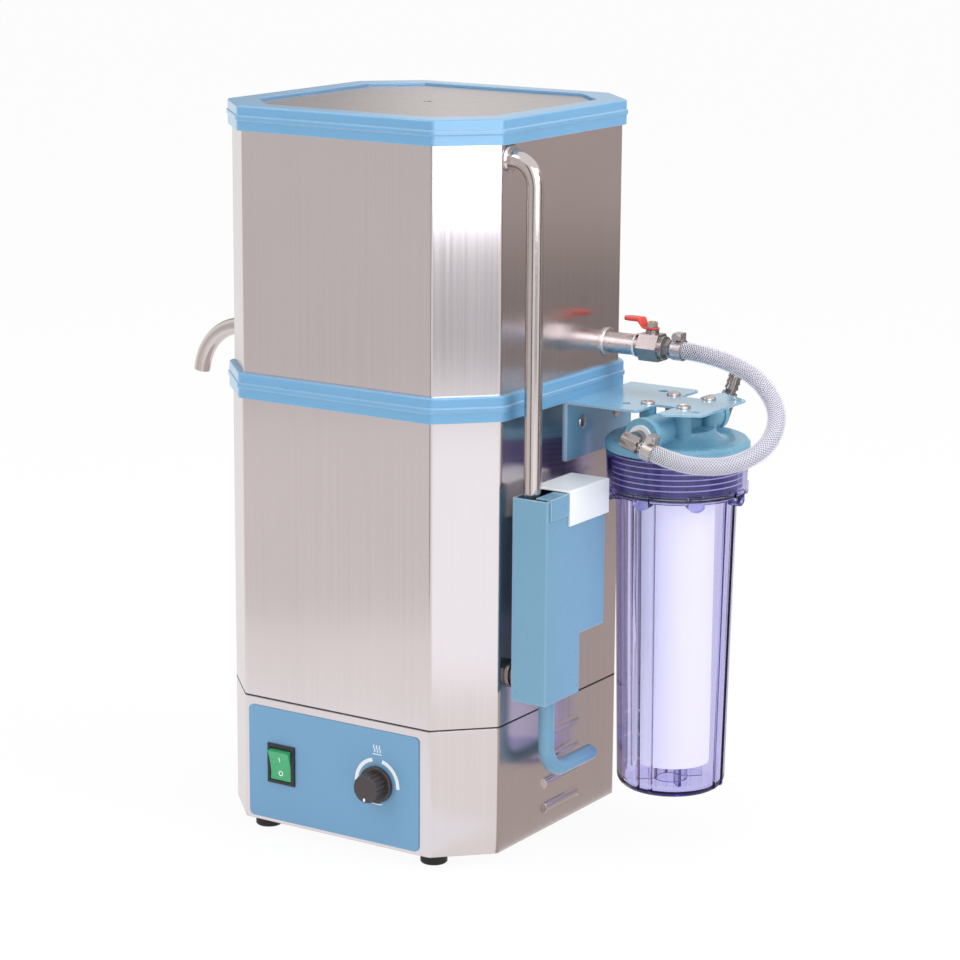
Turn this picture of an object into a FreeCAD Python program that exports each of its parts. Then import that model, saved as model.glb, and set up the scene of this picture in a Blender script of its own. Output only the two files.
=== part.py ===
"""Bench water still with a filter on its side: an eight-sided steel casing in three storeys.

The base holds the switch and the heat control, the boiler stands on it, and the condenser vessel
stands on the boiler.  A level box, a valve and a cartridge filter hang on the right-hand wall.
"""
import FreeCAD, Part
import math
import os

os.makedirs("parts", exist_ok=True)
V = FreeCAD.Vector
X_AXIS = V(1, 0, 0)
Y_AXIS = V(0, 1, 0)
Z_AXIS = V(0, 0, 1)

# All sizes are in millimetres.  Z is up, -Y faces the user, +X is the side with the filter.
# The origin is the middle of the base plate's underside, and the feet reach below it.

# Eight-sided casing
body_width = 250.0
corner_leg = 38.0
corner_bend = 5.0
least_bend = 1.0
sheet_wall = 1.2
base_height = 101.0
boiler_height = 237.5
mid_ring_height = 19.5
vessel_height = 185.5
top_ring_height = 19.0
vessel_inset = 1.3
overrun = 3.0

# Clearances
fit_gap = 0.05
slip_gap = 0.3
plate_gap = 0.2

# Base
fold_width = 10.0
deck_thickness = 1.0
deck_inset = 0.8
deck_hole_radius = 78.0
base_plate_thickness = 1.5
foot_pocket_depth = 1.0
foot_pocket_gap = 1.0
foot_pocket_wall = 1.5
foot_radius = 10.5
foot_toe_radius = 9.6
foot_height = 10.0
foot_side_inset = 46.0
foot_front_inset = 19.0
foot_stem_radius = 3.0
foot_head_radius = 4.2
foot_head_height = 2.4
foot_head_tip_radius = 2.4
vent_slot_length = 60.0
vent_slot_width = 5.0
vent_slot_pitch = 12.0
vent_slot_count = 4

# Louvres in the right-hand wall of the base
louvre_count = 4
louvre_pitch = 20.0
louvre_first_z = 17.5
louvre_length = 47.5
louvre_middle_y = 2.8
louvre_height = 9.0
louvre_depth = 3.2
louvre_mouth = 3.0

# Front panel
panel_side_gap = 6.5
panel_top_gap = 7.2
panel_bottom_gap = 2.8
panel_thickness = 1.0
panel_corner = 4.0
panel_middle_x = -2.5

# Rocker switch
switch_from_panel_left = 31.7
switch_lift = 1.1
bezel_width = 26.0
bezel_height = 32.0
bezel_thickness = 2.0
bezel_edge = 0.7
rocker_opening_width = 20.0
rocker_opening_height = 26.4
switch_side_wall = 1.5
switch_body_depth = 22.0
switch_cavity_depth = 12.0
rocker_gap = 0.3
rocker_end_gap = 1.0
rocker_pivot_depth = 3.0
rocker_end_rise = 4.6
rocker_middle_rise = 3.0
rocker_side_depth = 2.0
rocker_belly_depth = 6.0
rocker_tilt_degrees = 10.0
rocker_pin_radius = 1.5
rocker_pin_length = 1.2
terminal_width = 6.3
terminal_thickness = 0.8
terminal_length = 8.0
terminal_pitch = 7.4
terminal_count = 3

# Heat control
control_from_panel_right = 38.4
control_lift = 2.2
regulator_width = 36.0
regulator_depth = 22.0
regulator_edge = 3.0
neck_radius = 4.9
neck_reach = 5.0
neck_nut_flats = 14.0
neck_nut_height = 2.2
shaft_radius = 3.0
shaft_tail = 8.0
knob_height = 16.5
knob_floor_gap = 0.6
knob_skirt_height = 3.5
knob_skirt_radius = 14.5
knob_cap_radius = 11.2
knob_cap_edge = 1.2
knob_flute_count = 18
knob_flute_radius = 1.1
knob_flute_bite = 0.7
knob_hollow_radius = 9.5
knob_hollow_depth = 6.5
knob_web = 2.5

# Wiring inside the base and the mains inlet in its rear wall
block_x = 30.0
block_y = 30.0
block_length = 44.0
block_width = 18.0
block_height = 16.0
block_bore_radius = 2.4
block_bore_depth = 9.0
block_bore_pitch = 11.0
block_bore_count = 4
gland_from_side = 55.0
gland_z = 32.0
gland_thread_radius = 7.9
gland_bore_radius = 4.0
gland_flats = 22.0
gland_hex_height = 5.0
gland_dome_radius = 9.6
gland_dome_height = 11.0
gland_dome_edge = 3.0
gland_nut_height = 4.0
gland_tail = 7.0

# Boiler tank and what is fixed to it
tank_margin = 18.0
tank_wall = 1.0
tank_lift = 17.0
tank_floor_edge = 12.0
tank_flange_thickness = 1.2
casing_lap = 8.0
gasket_thickness = 2.0
gasket_margin = 1.0
heater_rod_radius = 4.2
heater_ring_radius = 70.0
heater_ring_lift = 16.0
heater_tail = 9.0
heater_ring_sides = 9
heater_open_degrees = 44.0
heater_nut_flats = 17.0
heater_nut_height = 5.0
cutout_radius = 8.0
cutout_height = 7.0
cutout_x = 30.0

# Painted rings
mid_ring_proud = 3.0
top_ring_proud = 2.0
bead_proud = 1.0
bead_height = 4.0
bead_round = 0.9
ring_edge = 1.5
rim_width = 19.0
rim_sheet = 1.5
rim_bend = 4.0
opening_leg = 34.0
lid_recess = 2.0
lid_thickness = 1.5
lid_gap = 1.6
lid_ledge = 6.0
lid_hole_radius = 3.5

# Condenser
dome_margin = 27.7
dome_wall = 1.0
dome_shoulder = 29.0
gutter_width = 13.0
gutter_wall_height = 12.0
gutter_sheet = 1.0

# Pipes of polished steel
pipe_radius = 6.75
pipe_bore_radius = 5.6
weld_ring_radius = 10.5
weld_ring_height = 2.5
weld_ring_edge = 1.2
spout_weld_radius = 8.4
spout_straight = 56.0
spout_bend_radius = 44.0
spout_bend_degrees = 78.0
spout_tail = 6.0
overflow_drop_from_top = 29.5
overflow_from_wall = 21.0
overflow_inset = 13.5
overflow_dip = 21.0
pipe_start_inside = 2.0

# Level box
box_from_wall = 11.8
box_width = 30.7
box_from_front = 35.5
box_depth = 85.0
box_foot_depth = 49.5
box_lift = 23.5
box_height = 158.0
box_notch_height = 47.0
box_wall = 1.2
box_edge = 1.2
standpipe_inset = 37.5
standpipe_height = 110.5
drain_radius = 6.25
drain_bore_radius = 5.2
drain_bend_radius = 24.0
drain_drop = 66.2
drain_run = 65.8
clip_front_inset = 3.5
clip_length = 25.5
clip_skirt_outside = 15.0
clip_skirt_inside = 8.0
clip_thickness = 1.2
clip_reach = 12.0
cover_inset = 29.5
cover_rear_gap = 0.5
cover_skirt = 27.0
cover_thickness = 1.4
cover_lift = 1.6
cover_edge = 1.6
union_inset = 22.9
union_rise = 14.5
union_inside = 6.0
union_flats = 19.0
union_nut_length = 8.6
union_lock_length = 3.5
union_washer_radius = 11.0
union_washer_thickness = 1.5

# Inlet nipple and ball valve, along +X
inlet_from_rear = 57.7
inlet_lift = 17.6
nipple_radius = 8.3
nipple_bore_radius = 5.5
nipple_length = 26.0
nipple_weld_radius = 11.5
seal_ring_radius = 9.2
seal_ring_length = 1.8
valve_length = 24.0
valve_flats = 21.0
valve_end_length = 3.5
valve_end_radius = 9.3
valve_bore_radius = 5.0
valve_neck_radius = 5.2
valve_neck_height = 3.0
ball_radius = 7.5
ball_flat_height = 6.6
stem_radius = 2.5
stem_above_neck = 6.5
lever_hub_radius = 5.4
lever_thickness = 1.6
lever_width = 9.0
lever_root = 5.0
lever_step_run = 4.5
lever_step_rise = 5.5
lever_paddle_length = 15.0
lever_nut_flats = 8.0
lever_nut_height = 4.0

# Hose tails, clamps and the braided hose
tail_hex_flats = 13.0
tail_hex_length = 5.0
barb_shank_radius = 4.2
barb_ridge_radius = 4.75
barb_bore_radius = 3.0
barb_shank_length = 7.0
barb_ridge_length = 4.0
barb_ridge_count = 3
barb_nose_length = 3.0
hose_radius = 7.35
hose_bore_radius = 4.85
clamp_width = 8.5
clamp_thickness = 0.9
clamp_setback = 2.5
clamp_housing_length = 9.0
clamp_housing_height = 5.0
clamp_housing_width = 7.0
clamp_screw_radius = 2.9
clamp_screw_reach = 3.0

# Bracket that carries the filter
filter_reach = 72.0
filter_from_rear = 72.0
bracket_sheet = 2.0
bracket_bend = 2.2
bracket_half_width = 49.0
bracket_drop = 47.0
bracket_beyond_axis = 40.0
bracket_notch_width = 18.0
bracket_notch_depth = 30.0
bracket_corner_run = 26.0
bracket_corner_set = 14.0
bracket_tip_round = 3.0
wall_hole_radius = 5.5
wall_hole_half_pitch = 26.0
wall_hole_drop = 19.5
spare_hole_radius = 4.0
spare_hole_half_x = 30.0
spare_hole_half_y = 29.0

# Filter head
pillar_half_x = 15.5
pillar_half_y = 20.0
pillar_radius = 6.5
screw_radius = 2.5
screw_clear_radius = 2.8
screw_head_radius = 5.5
screw_head_height = 3.0
screw_head_edge = 1.4
screw_length = 14.0
screw_recess_radius = 1.6
screw_recess_depth = 1.4
port_drop = 16.0
port_half_length = 57.0
port_radius = 13.3
port_collar_radius = 14.4
port_collar_length = 6.0
port_socket_radius = 8.4
port_socket_depth = 15.0
port_passage_radius = 4.5
hub_height = 25.5
hub_radius = 28.0
hub_flare_rise = 8.0
hub_flare_radius = 44.0
hub_flare_middle_radius = 32.5
hub_flare_middle_rise = 2.2
flange_radius = 56.0
flange_thickness = 8.0
flange_edge = 2.5
thread_skirt_length = 29.0
thread_skirt_radius = 50.4
thread_skirt_wall = 6.4
head_cavity_above_flange = 3.0
spigot_radius = 13.3
spigot_reach = 7.0
spigot_land_radius = 19.0
spigot_passage_radius = 6.0
inlet_duct_offset = 29.0

# Bushes and hose elbows in the ports
bush_rim_radius = 9.4
bush_rim_length = 2.0
elbow_stub_radius = 5.4
elbow_knee_reach = 18.0
elbow_body_radius = 7.6
elbow_arm_length = 12.0
outlet_elbow_degrees = -17.3
inlet_elbow_degrees = 72.0

# Clear sump and its cartridge
sump_gap = 0.5
collar_radius = 55.4
collar_foot_radius = 54.0
collar_height = 34.0
collar_edge = 2.0
sump_drop = 237.0
sump_top_radius = 47.0
sump_foot_radius = 42.2
sump_wall = 3.6
sump_floor = 5.0
sump_floor_round = 9.0
seat_groove_depth = 2.3
seat_groove_width = 4.2
seat_depth = 2.0
o_ring_section_radius = 1.9
lug_count = 8
lug_width = 13.0
lug_height = 12.0
lug_hang = 5.0
lug_radius = 56.2
rib_pair_count = 4
rib_half_angle_degrees = 7.5
rib_radius = 1.9
rib_sink = 0.5
rib_foot_lift = 6.0
cartridge_radius = 30.0
cartridge_bore_radius = 14.0
cartridge_sink = 8.0
cartridge_gap = 0.3
seat_fin_thickness = 2.4
seat_fin_height = 16.0
seat_fin_count = 4
seat_fin_reach = 26.0
seat_spigot_radius = 13.4
seat_spigot_rise = 6.0
seat_spigot_wall = 2.4

# Route of the braided hose, from the valve's tail to the front elbow.  The first two and the last
# two points are worked out from the fittings.  These lie between them, and are measured from the
# point of the bracket's top face that is above the middle of the filter.
hose_first_run = 24.6
hose_last_run = 20.5
hose_middle_points = [
    (42.9, 7.5, 32.9),
    (73.0, -2.6, 23.8),
    (98.0, -20.8, 5.1),
    (101.9, -45.3, -15.7),
    (85.0, -66.9, -27.6),
    (59.2, -78.2, -29.8),
]

# Levels and places worked out from the sizes above
body_half = body_width / 2
vessel_half = body_half - vessel_inset
deck_bottom = base_height - deck_thickness
foot_x = body_half - foot_side_inset
foot_y = body_half - foot_front_inset
tank_radius = body_half - tank_margin
dome_radius = vessel_half - dome_margin
gland_x = body_half - gland_from_side
panel_width = body_width - 2 * (corner_leg + panel_side_gap)
panel_height = base_height - panel_bottom_gap - panel_top_gap
panel_middle_z = panel_bottom_gap + panel_height / 2
switch_x = panel_middle_x - panel_width / 2 + switch_from_panel_left
switch_z = panel_middle_z + switch_lift
control_x = panel_middle_x + panel_width / 2 - control_from_panel_right
control_z = panel_middle_z + control_lift
ring_bottom = base_height + boiler_height
ring_top = ring_bottom + mid_ring_height
vessel_top = ring_top + vessel_height
body_top = vessel_top + top_ring_height
tank_flange_bottom = ring_bottom + casing_lap
gasket_bottom = tank_flange_bottom + tank_flange_thickness
vessel_floor = gasket_bottom + gasket_thickness
tank_floor_z = base_height + tank_lift
spout_z = ring_top + spout_weld_radius + slip_gap
overflow_z = body_top - overflow_drop_from_top
panel_front_y = -body_half - panel_thickness
box_left_x = body_half + box_from_wall
box_right_x = box_left_x + box_width
box_front_y = box_from_front - body_half
box_rear_y = box_front_y + box_depth
box_foot_rear_y = box_front_y + box_foot_depth
box_bottom_z = base_height + box_lift
box_top_z = box_bottom_z + box_height
box_notch_z = box_bottom_z + box_notch_height
overflow_x = body_half + overflow_from_wall
overflow_y = box_front_y + overflow_inset
overflow_bend_radius = overflow_x - vessel_half - weld_ring_height
standpipe_y = box_front_y + standpipe_inset
standpipe_top_z = box_bottom_z + standpipe_height
drain_axis_z = box_bottom_z - drain_drop
drain_end_y = standpipe_y + drain_run
cover_front_y = box_front_y + cover_inset
union_y = box_front_y + union_inset
union_z = box_bottom_z + union_rise
inlet_y = body_half - inlet_from_rear
inlet_z = ring_top + inlet_lift
valve_start_x = body_half + nipple_length + seal_ring_length
valve_end_x = valve_start_x + valve_length
filter_x = body_half + filter_reach
filter_y = body_half - filter_from_rear
bracket_top = ring_bottom
bracket_under = bracket_top - bracket_sheet
port_z = bracket_under - port_drop
flange_top = bracket_under - hub_height
flange_bottom = flange_top - flange_thickness
skirt_bottom = flange_bottom - thread_skirt_length
collar_top = flange_bottom - sump_gap
collar_bottom = collar_top - collar_height
sump_bottom = collar_bottom - sump_drop
sump_seat_z = skirt_bottom - seat_depth
cartridge_top = flange_bottom - cartridge_sink
seat_fin_top = sump_bottom + sump_floor + seat_fin_height
cartridge_bottom = seat_fin_top + cartridge_gap


# Shapes used again and again

def box(x0, x1, y0, y1, z0, z1):
    """Block between two corners."""
    return Part.makeBox(x1 - x0, y1 - y0, z1 - z0, V(x0, y0, z0))


def rod(radius, start, end):
    """Round bar from one point to another."""
    return Part.makeCylinder(radius, (end - start).Length, start, end - start)


def pipe(radius, bore, start, end):
    """Straight tube from one point to another."""
    return rod(radius, start, end).cut(rod(bore, start, end))


def placed(shape, at, axis, spin_degrees=0.0):
    """Move a shape that was made round the Z axis to a point, with its axis turned to axis."""
    turn = FreeCAD.Rotation(Z_AXIS, axis)
    spin = FreeCAD.Rotation(Z_AXIS, spin_degrees)
    moved = shape.copy()
    moved.Placement = FreeCAD.Placement(at, turn.multiply(spin))
    return moved


def turned(outline, at=V(0, 0, 0), axis=Z_AXIS):
    """Solid of revolution from (radius, height) corners, standing on a point along an axis."""
    corners = [V(radius, 0, height) for radius, height in outline]
    face = Part.Face(Part.makePolygon(corners + corners[:1]))
    return placed(face.revolve(V(0, 0, 0), Z_AXIS, 360), at, axis)


def hexagon(flats, height, at, axis, spin_degrees=0.0):
    """Six-sided bar with a given size across its flats."""
    radius = flats / math.sqrt(3)
    corners = []
    for step in range(6):
        angle = math.radians(60 * step)
        corners.append(V(radius * math.cos(angle), radius * math.sin(angle), 0))
    face = Part.Face(Part.makePolygon(corners + corners[:1]))
    return placed(face.extrude(V(0, 0, height)), at, axis, spin_degrees)


def upright_edges(solid):
    """Edges of a solid that run straight up."""
    found = []
    for edge in solid.Edges:
        if isinstance(edge.Curve, Part.Line) and abs(edge.Curve.Direction.z) > 0.999:
            found.append(edge)
    return found


def edges_at(solid, z):
    """Edges of a solid that lie in one level plane."""
    found = []
    for edge in solid.Edges:
        if abs(edge.BoundBox.ZMin - z) < slip_gap / 100 and edge.BoundBox.ZLength < slip_gap / 100:
            found.append(edge)
    return found


def octagon(half, leg, bend, z0, z1):
    """Eight-sided bar with rounded upright edges: a square with its corners cut at 45 degrees."""
    side = half - leg
    ring = [(side, -half), (half, -side), (half, side), (side, half)]
    ring = ring + [(-x, -y) for x, y in ring]
    corners = [V(x, y, z0) for x, y in ring]
    solid = Part.Face(Part.makePolygon(corners + corners[:1])).extrude(V(0, 0, z1 - z0))
    return solid.makeFillet(bend, upright_edges(solid))


def inset_leg(leg, inset):
    """Leg of the corner cut when every side of the eight-sided outline moves in by inset."""
    return leg - inset * (2 - math.sqrt(2))


def casing(offset, z0, z1):
    """Bar with the casing's outline, moved out by offset."""
    bend = max(corner_bend + offset, least_bend)
    return octagon(body_half + offset, inset_leg(corner_leg, -offset), bend, z0, z1)


def casing_tube(outer, inner, z0, z1):
    """Wall between two outlines of the casing."""
    return casing(outer, z0, z1).cut(casing(inner, z0, z1))


def opening(outset, z0, z1):
    """Bar with the outline of the mouth in the top ring, moved out by outset."""
    half = body_half + top_ring_proud - rim_width
    bend = max(rim_bend + outset, least_bend)
    return octagon(half + outset, inset_leg(opening_leg, -outset), bend, z0, z1)


def beaded(offset, z0, z1):
    """Painted ring's outer bar with softened rims and a raised bead round its middle."""
    body = casing(offset, z0, z1)
    body = body.makeFillet(ring_edge, edges_at(body, z1))
    middle = (z0 + z1) / 2
    low = middle - bead_height / 2
    high = middle + bead_height / 2
    bead = casing(offset + bead_proud, low, high)
    bead = bead.makeFillet(bead_round, edges_at(bead, low) + edges_at(bead, high))
    return body.fuse(bead)


def route_wire(points):
    """Path of straight runs joined by tangent arcs, each as large as its two runs allow."""
    edges = []
    radii = []
    last = points[0]
    for before, here, after in zip(points, points[1:], points[2:]):
        back = before - here
        ahead = after - here
        setback = 0.45 * min(back.Length, ahead.Length)
        half_turn = (math.pi - back.getAngle(ahead)) / 2
        radii.append(setback / math.tan(half_turn))
        back.normalize()
        ahead.normalize()
        start = here + back * setback
        end = here + ahead * setback
        bisector = back + ahead
        bisector.normalize()
        sag = radii[-1] / math.cos(half_turn) - radii[-1]
        edges.append(Part.LineSegment(last, start).toShape())
        edges.append(Part.Arc(start, here + bisector * sag, end).toShape())
        last = end
    edges.append(Part.LineSegment(last, points[-1]).toShape())
    return Part.Wire(edges), radii


def swept(path, radius):
    """Round bar along a path."""
    start = path.Edges[0].Vertexes[0].Point
    heading = path.Edges[0].tangentAt(path.Edges[0].FirstParameter)
    ring = Part.Wire([Part.makeCircle(radius, start, heading)])
    return path.makePipeShell([ring], True, False)


def bent_pipe(start, corner, end, bend_radius, radius, bore):
    """Tube with one round bend at its corner, open at both ends."""
    back = (start - corner).normalize()
    ahead = (end - corner).normalize()
    half_turn = (math.pi - back.getAngle(ahead)) / 2
    setback = bend_radius * math.tan(half_turn)
    bisector = (back + ahead).normalize()
    sag = bend_radius / math.cos(half_turn) - bend_radius
    bend_start = corner + back * setback
    bend_end = corner + ahead * setback
    path = Part.Wire([
        Part.LineSegment(start, bend_start).toShape(),
        Part.Arc(bend_start, corner + bisector * sag, bend_end).toShape(),
        Part.LineSegment(bend_end, end).toShape(),
    ])
    return swept(path, radius).cut(swept(path, bore))


def weld_ring(radius, bore, at, axis):
    """Low collar where a pipe leaves a wall, with its outer edge rounded off."""
    outline = [
        (bore, 0),
        (radius, 0),
        (radius, weld_ring_height - weld_ring_edge),
        (radius - weld_ring_edge, weld_ring_height),
        (bore, weld_ring_height),
    ]
    return turned(outline, at, axis)


# Base

def base_shell():
    """Sheet-steel base: louvred right wall, holes for switch, control and mains inlet."""
    shell = casing_tube(0, -sheet_wall, 0, deck_bottom)
    fold = casing_tube(-sheet_wall / 2, -sheet_wall - fold_width, deck_bottom - sheet_wall, deck_bottom)
    shell = shell.fuse(fold).removeSplitter()
    for number in range(louvre_count):
        shell = add_louvre(shell, louvre_first_z + number * louvre_pitch)
    front = -body_half
    half_x = rocker_opening_width / 2 + switch_side_wall + slip_gap
    half_z = rocker_opening_height / 2 + switch_side_wall + slip_gap
    shell = shell.cut(box(switch_x - half_x, switch_x + half_x, front - overrun, front + overrun,
                          switch_z - half_z, switch_z + half_z))
    shell = shell.cut(rod(neck_radius + fit_gap, V(control_x, front - overrun, control_z),
                          V(control_x, front + overrun, control_z)))
    shell = shell.cut(rod(gland_thread_radius + fit_gap, V(gland_x, body_half - overrun, gland_z),
                          V(gland_x, body_half + overrun, gland_z)))
    return shell


def louvre_lens(inset, z_middle):
    """Long pillow that stands out of the right wall, smaller than the louvre by inset."""
    x = body_half
    half_height = louvre_height / 2 - inset
    half_length = louvre_length / 2 - inset
    low = V(x, louvre_middle_y - half_length, z_middle - half_height)
    high = V(x, louvre_middle_y - half_length, z_middle + half_height)
    crown = V(x + louvre_depth - inset, louvre_middle_y - half_length, z_middle)
    outline = Part.Wire([Part.Arc(low, crown, high).toShape(), Part.LineSegment(high, low).toShape()])
    return Part.Face(outline).extrude(V(0, 2 * half_length, 0))


def add_louvre(shell, z_middle):
    """Press one louvre out of the right wall and open its lower side."""
    hood = louvre_lens(0, z_middle)
    hollow = louvre_lens(sheet_wall, z_middle)
    half_length = louvre_length / 2 - sheet_wall
    low = z_middle - louvre_height / 2
    mouth = box(body_half, body_half + louvre_depth + overrun, louvre_middle_y - half_length,
                louvre_middle_y + half_length, low - overrun, low + louvre_mouth)
    slot = box(body_half - overrun, body_half, louvre_middle_y - half_length,
               louvre_middle_y + half_length, low + sheet_wall, low + louvre_height - sheet_wall)
    return shell.fuse(hood).cut(hollow).cut(mouth).cut(slot)


def foot_places():
    """The four corners where the feet stand."""
    return [(sx * foot_x, sy * foot_y) for sx in (-1, 1) for sy in (-1, 1)]


def base_plate():
    """Floor of the base, with a raised pocket over each foot and a row of vent slots."""
    plate = casing(-sheet_wall - plate_gap, 0, base_plate_thickness)
    pocket_radius = foot_radius + foot_pocket_gap
    for x, y in foot_places():
        boss_top = base_plate_thickness + foot_pocket_depth
        plate = plate.fuse(rod(pocket_radius + foot_pocket_wall, V(x, y, 0), V(x, y, boss_top)))
        plate = plate.cut(rod(pocket_radius, V(x, y, -overrun), V(x, y, foot_pocket_depth)))
        hole = foot_stem_radius + plate_gap
        plate = plate.cut(rod(hole, V(x, y, -overrun), V(x, y, boss_top + overrun)))
    for number in range(vent_slot_count):
        y = (number - (vent_slot_count - 1) / 2) * vent_slot_pitch
        plate = plate.cut(box(-vent_slot_length / 2, vent_slot_length / 2, y - vent_slot_width / 2,
                              y + vent_slot_width / 2, -overrun, base_plate_thickness + overrun))
    return plate


def feet():
    """Four rubber feet, each pushed through the base plate by its mushroom-shaped stem."""
    plate_top = base_plate_thickness + foot_pocket_depth
    outline = [
        (0, -foot_height),
        (foot_toe_radius, -foot_height),
        (foot_radius, -foot_height + (foot_radius - foot_toe_radius)),
        (foot_radius, foot_pocket_depth),
        (foot_stem_radius, foot_pocket_depth),
        (foot_stem_radius, plate_top),
        (foot_head_radius, plate_top),
        (foot_head_tip_radius, plate_top + foot_head_height),
        (0, plate_top + foot_head_height),
    ]
    return Part.makeCompound([turned(outline, V(x, y, 0)) for x, y in foot_places()])


def base_deck():
    """Flat heat shield between the base and the boiler, set back so that a fine seam shows."""
    deck = casing(-deck_inset, deck_bottom, base_height)
    return deck.cut(rod(deck_hole_radius, V(0, 0, deck_bottom - overrun), V(0, 0, base_height + overrun)))


def front_panel():
    """Painted panel with rounded corners on the front of the base."""
    x0 = panel_middle_x - panel_width / 2
    z0 = panel_middle_z - panel_height / 2
    panel = box(x0, x0 + panel_width, panel_front_y, -body_half, z0, z0 + panel_height)
    corners = [e for e in panel.Edges if abs(e.tangentAt(e.FirstParameter).y) > 0.999]
    panel = panel.makeFillet(panel_corner, corners)
    half_x = rocker_opening_width / 2 + switch_side_wall + slip_gap
    half_z = rocker_opening_height / 2 + switch_side_wall + slip_gap
    panel = panel.cut(box(switch_x - half_x, switch_x + half_x, panel_front_y - overrun,
                          -body_half + overrun, switch_z - half_z, switch_z + half_z))
    return panel.cut(rod(neck_radius + fit_gap, V(control_x, panel_front_y - overrun, control_z),
                         V(control_x, -body_half + overrun, control_z)))


def switch_block(width, height, y0, y1):
    """Block centred on the switch."""
    return box(switch_x - width / 2, switch_x + width / 2, y0, y1,
               switch_z - height / 2, switch_z + height / 2)


def switch_housing():
    """Black switch case with its bezel, the rocker's well and two pivot holes."""
    bezel_front = panel_front_y - bezel_thickness
    bezel = switch_block(bezel_width, bezel_height, bezel_front, panel_front_y)
    rim = [e for e in bezel.Edges if e.BoundBox.YMax < bezel_front + slip_gap / 100]
    bezel = bezel.makeChamfer(bezel_edge, rim)
    body_wide = rocker_opening_width + 2 * switch_side_wall
    body_high = rocker_opening_height + 2 * switch_side_wall
    body = switch_block(body_wide, body_high, panel_front_y, panel_front_y + switch_body_depth)
    well = switch_block(rocker_opening_width, rocker_opening_height, bezel_front - overrun,
                        bezel_front + switch_cavity_depth)
    pivot_y = bezel_front + rocker_pivot_depth
    reach = rocker_opening_width / 2 + rocker_pin_length + slip_gap
    pivot = rod(rocker_pin_radius + fit_gap, V(switch_x - reach, pivot_y, switch_z),
                V(switch_x + reach, pivot_y, switch_z))
    return bezel.fuse(body).cut(well).cut(pivot)


def switch_terminals():
    """Three blade terminals on the back of the switch."""
    back = panel_front_y + switch_body_depth
    blades = []
    for number in range(terminal_count):
        z = switch_z + (number - (terminal_count - 1) / 2) * terminal_pitch
        blades.append(box(switch_x - terminal_width / 2, switch_x + terminal_width / 2, back,
                          back + terminal_length, z - terminal_thickness / 2, z + terminal_thickness / 2))
    return Part.makeCompound(blades)


def rocker():
    """Rocker with a hollow face, tilted so that its lower end is pressed in."""
    pivot_y = panel_front_y - bezel_thickness + rocker_pivot_depth
    reach = rocker_opening_height / 2 - rocker_end_gap
    half_width = rocker_opening_width / 2 - rocker_gap
    left = switch_x - half_width
    low_end = V(left, pivot_y - rocker_end_rise, switch_z - reach)
    middle = V(left, pivot_y - rocker_middle_rise, switch_z)
    high_end = V(left, pivot_y - rocker_end_rise, switch_z + reach)
    high_back = V(left, pivot_y + rocker_side_depth, switch_z + reach)
    belly = V(left, pivot_y + rocker_belly_depth, switch_z)
    low_back = V(left, pivot_y + rocker_side_depth, switch_z - reach)
    outline = Part.Wire([
        Part.Arc(low_end, middle, high_end).toShape(),
        Part.LineSegment(high_end, high_back).toShape(),
        Part.Arc(high_back, belly, low_back).toShape(),
        Part.LineSegment(low_back, low_end).toShape(),
    ])
    body = Part.Face(outline).extrude(V(2 * half_width, 0, 0))
    reach_x = rocker_opening_width / 2 + rocker_pin_length
    pins = rod(rocker_pin_radius, V(switch_x - reach_x, pivot_y, switch_z),
               V(switch_x + reach_x, pivot_y, switch_z))
    body = body.fuse(pins)
    body.rotate(V(switch_x, pivot_y, switch_z), X_AXIS, rocker_tilt_degrees)
    return body


def control_axis(y):
    """Point on the heat control's axis."""
    return V(control_x, y, control_z)


def heat_regulator():
    """Energy regulator: a box behind the panel with a threaded neck for the knob's shaft."""
    back = -body_half + sheet_wall
    half = regulator_width / 2
    body = box(control_x - half, control_x + half, back, back + regulator_depth,
               control_z - half, control_z + half)
    corners = [e for e in body.Edges if abs(e.tangentAt(e.FirstParameter).y) > 0.999]
    body = body.makeFillet(regulator_edge, corners)
    body = body.fuse(rod(neck_radius, control_axis(back), control_axis(panel_front_y - neck_reach)))
    return body.cut(rod(shaft_radius + fit_gap, control_axis(panel_front_y - neck_reach),
                        control_axis(back + shaft_tail)))


def regulator_nut():
    """Thin hexagon nut that clamps the regulator to the panel."""
    nut = hexagon(neck_nut_flats, neck_nut_height, control_axis(panel_front_y), -Y_AXIS)
    return nut.cut(rod(neck_radius + fit_gap, control_axis(panel_front_y),
                       control_axis(panel_front_y - neck_nut_height)))


def control_shaft():
    """Shaft that the knob turns."""
    back = -body_half + sheet_wall + shaft_tail
    return rod(shaft_radius, control_axis(back), control_axis(panel_front_y - knob_height + knob_web))


def control_knob():
    """Fluted knob on a flat skirt, hollow behind to clear the nut."""
    skirt_top = knob_floor_gap + knob_skirt_height
    outline = [
        (knob_hollow_radius, knob_floor_gap),
        (knob_skirt_radius, knob_floor_gap),
        (knob_skirt_radius, skirt_top - knob_cap_edge / 2),
        (knob_skirt_radius - knob_cap_edge / 2, skirt_top),
        (knob_cap_radius, skirt_top),
        (knob_cap_radius, knob_height - knob_cap_edge),
        (knob_cap_radius - knob_cap_edge, knob_height),
        (0, knob_height),
        (0, knob_hollow_depth),
        (knob_hollow_radius, knob_hollow_depth),
    ]
    knob = turned(outline, control_axis(panel_front_y), -Y_AXIS)
    centre = knob_cap_radius + knob_flute_radius - knob_flute_bite
    for number in range(knob_flute_count):
        angle = 2 * math.pi * number / knob_flute_count
        x = control_x + centre * math.cos(angle)
        z = control_z + centre * math.sin(angle)
        knob = knob.cut(rod(knob_flute_radius, V(x, panel_front_y - skirt_top, z),
                            V(x, panel_front_y - knob_height - overrun, z)))
    return knob.cut(rod(shaft_radius + fit_gap, control_axis(panel_front_y),
                        control_axis(panel_front_y - knob_height + knob_web)))


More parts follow.
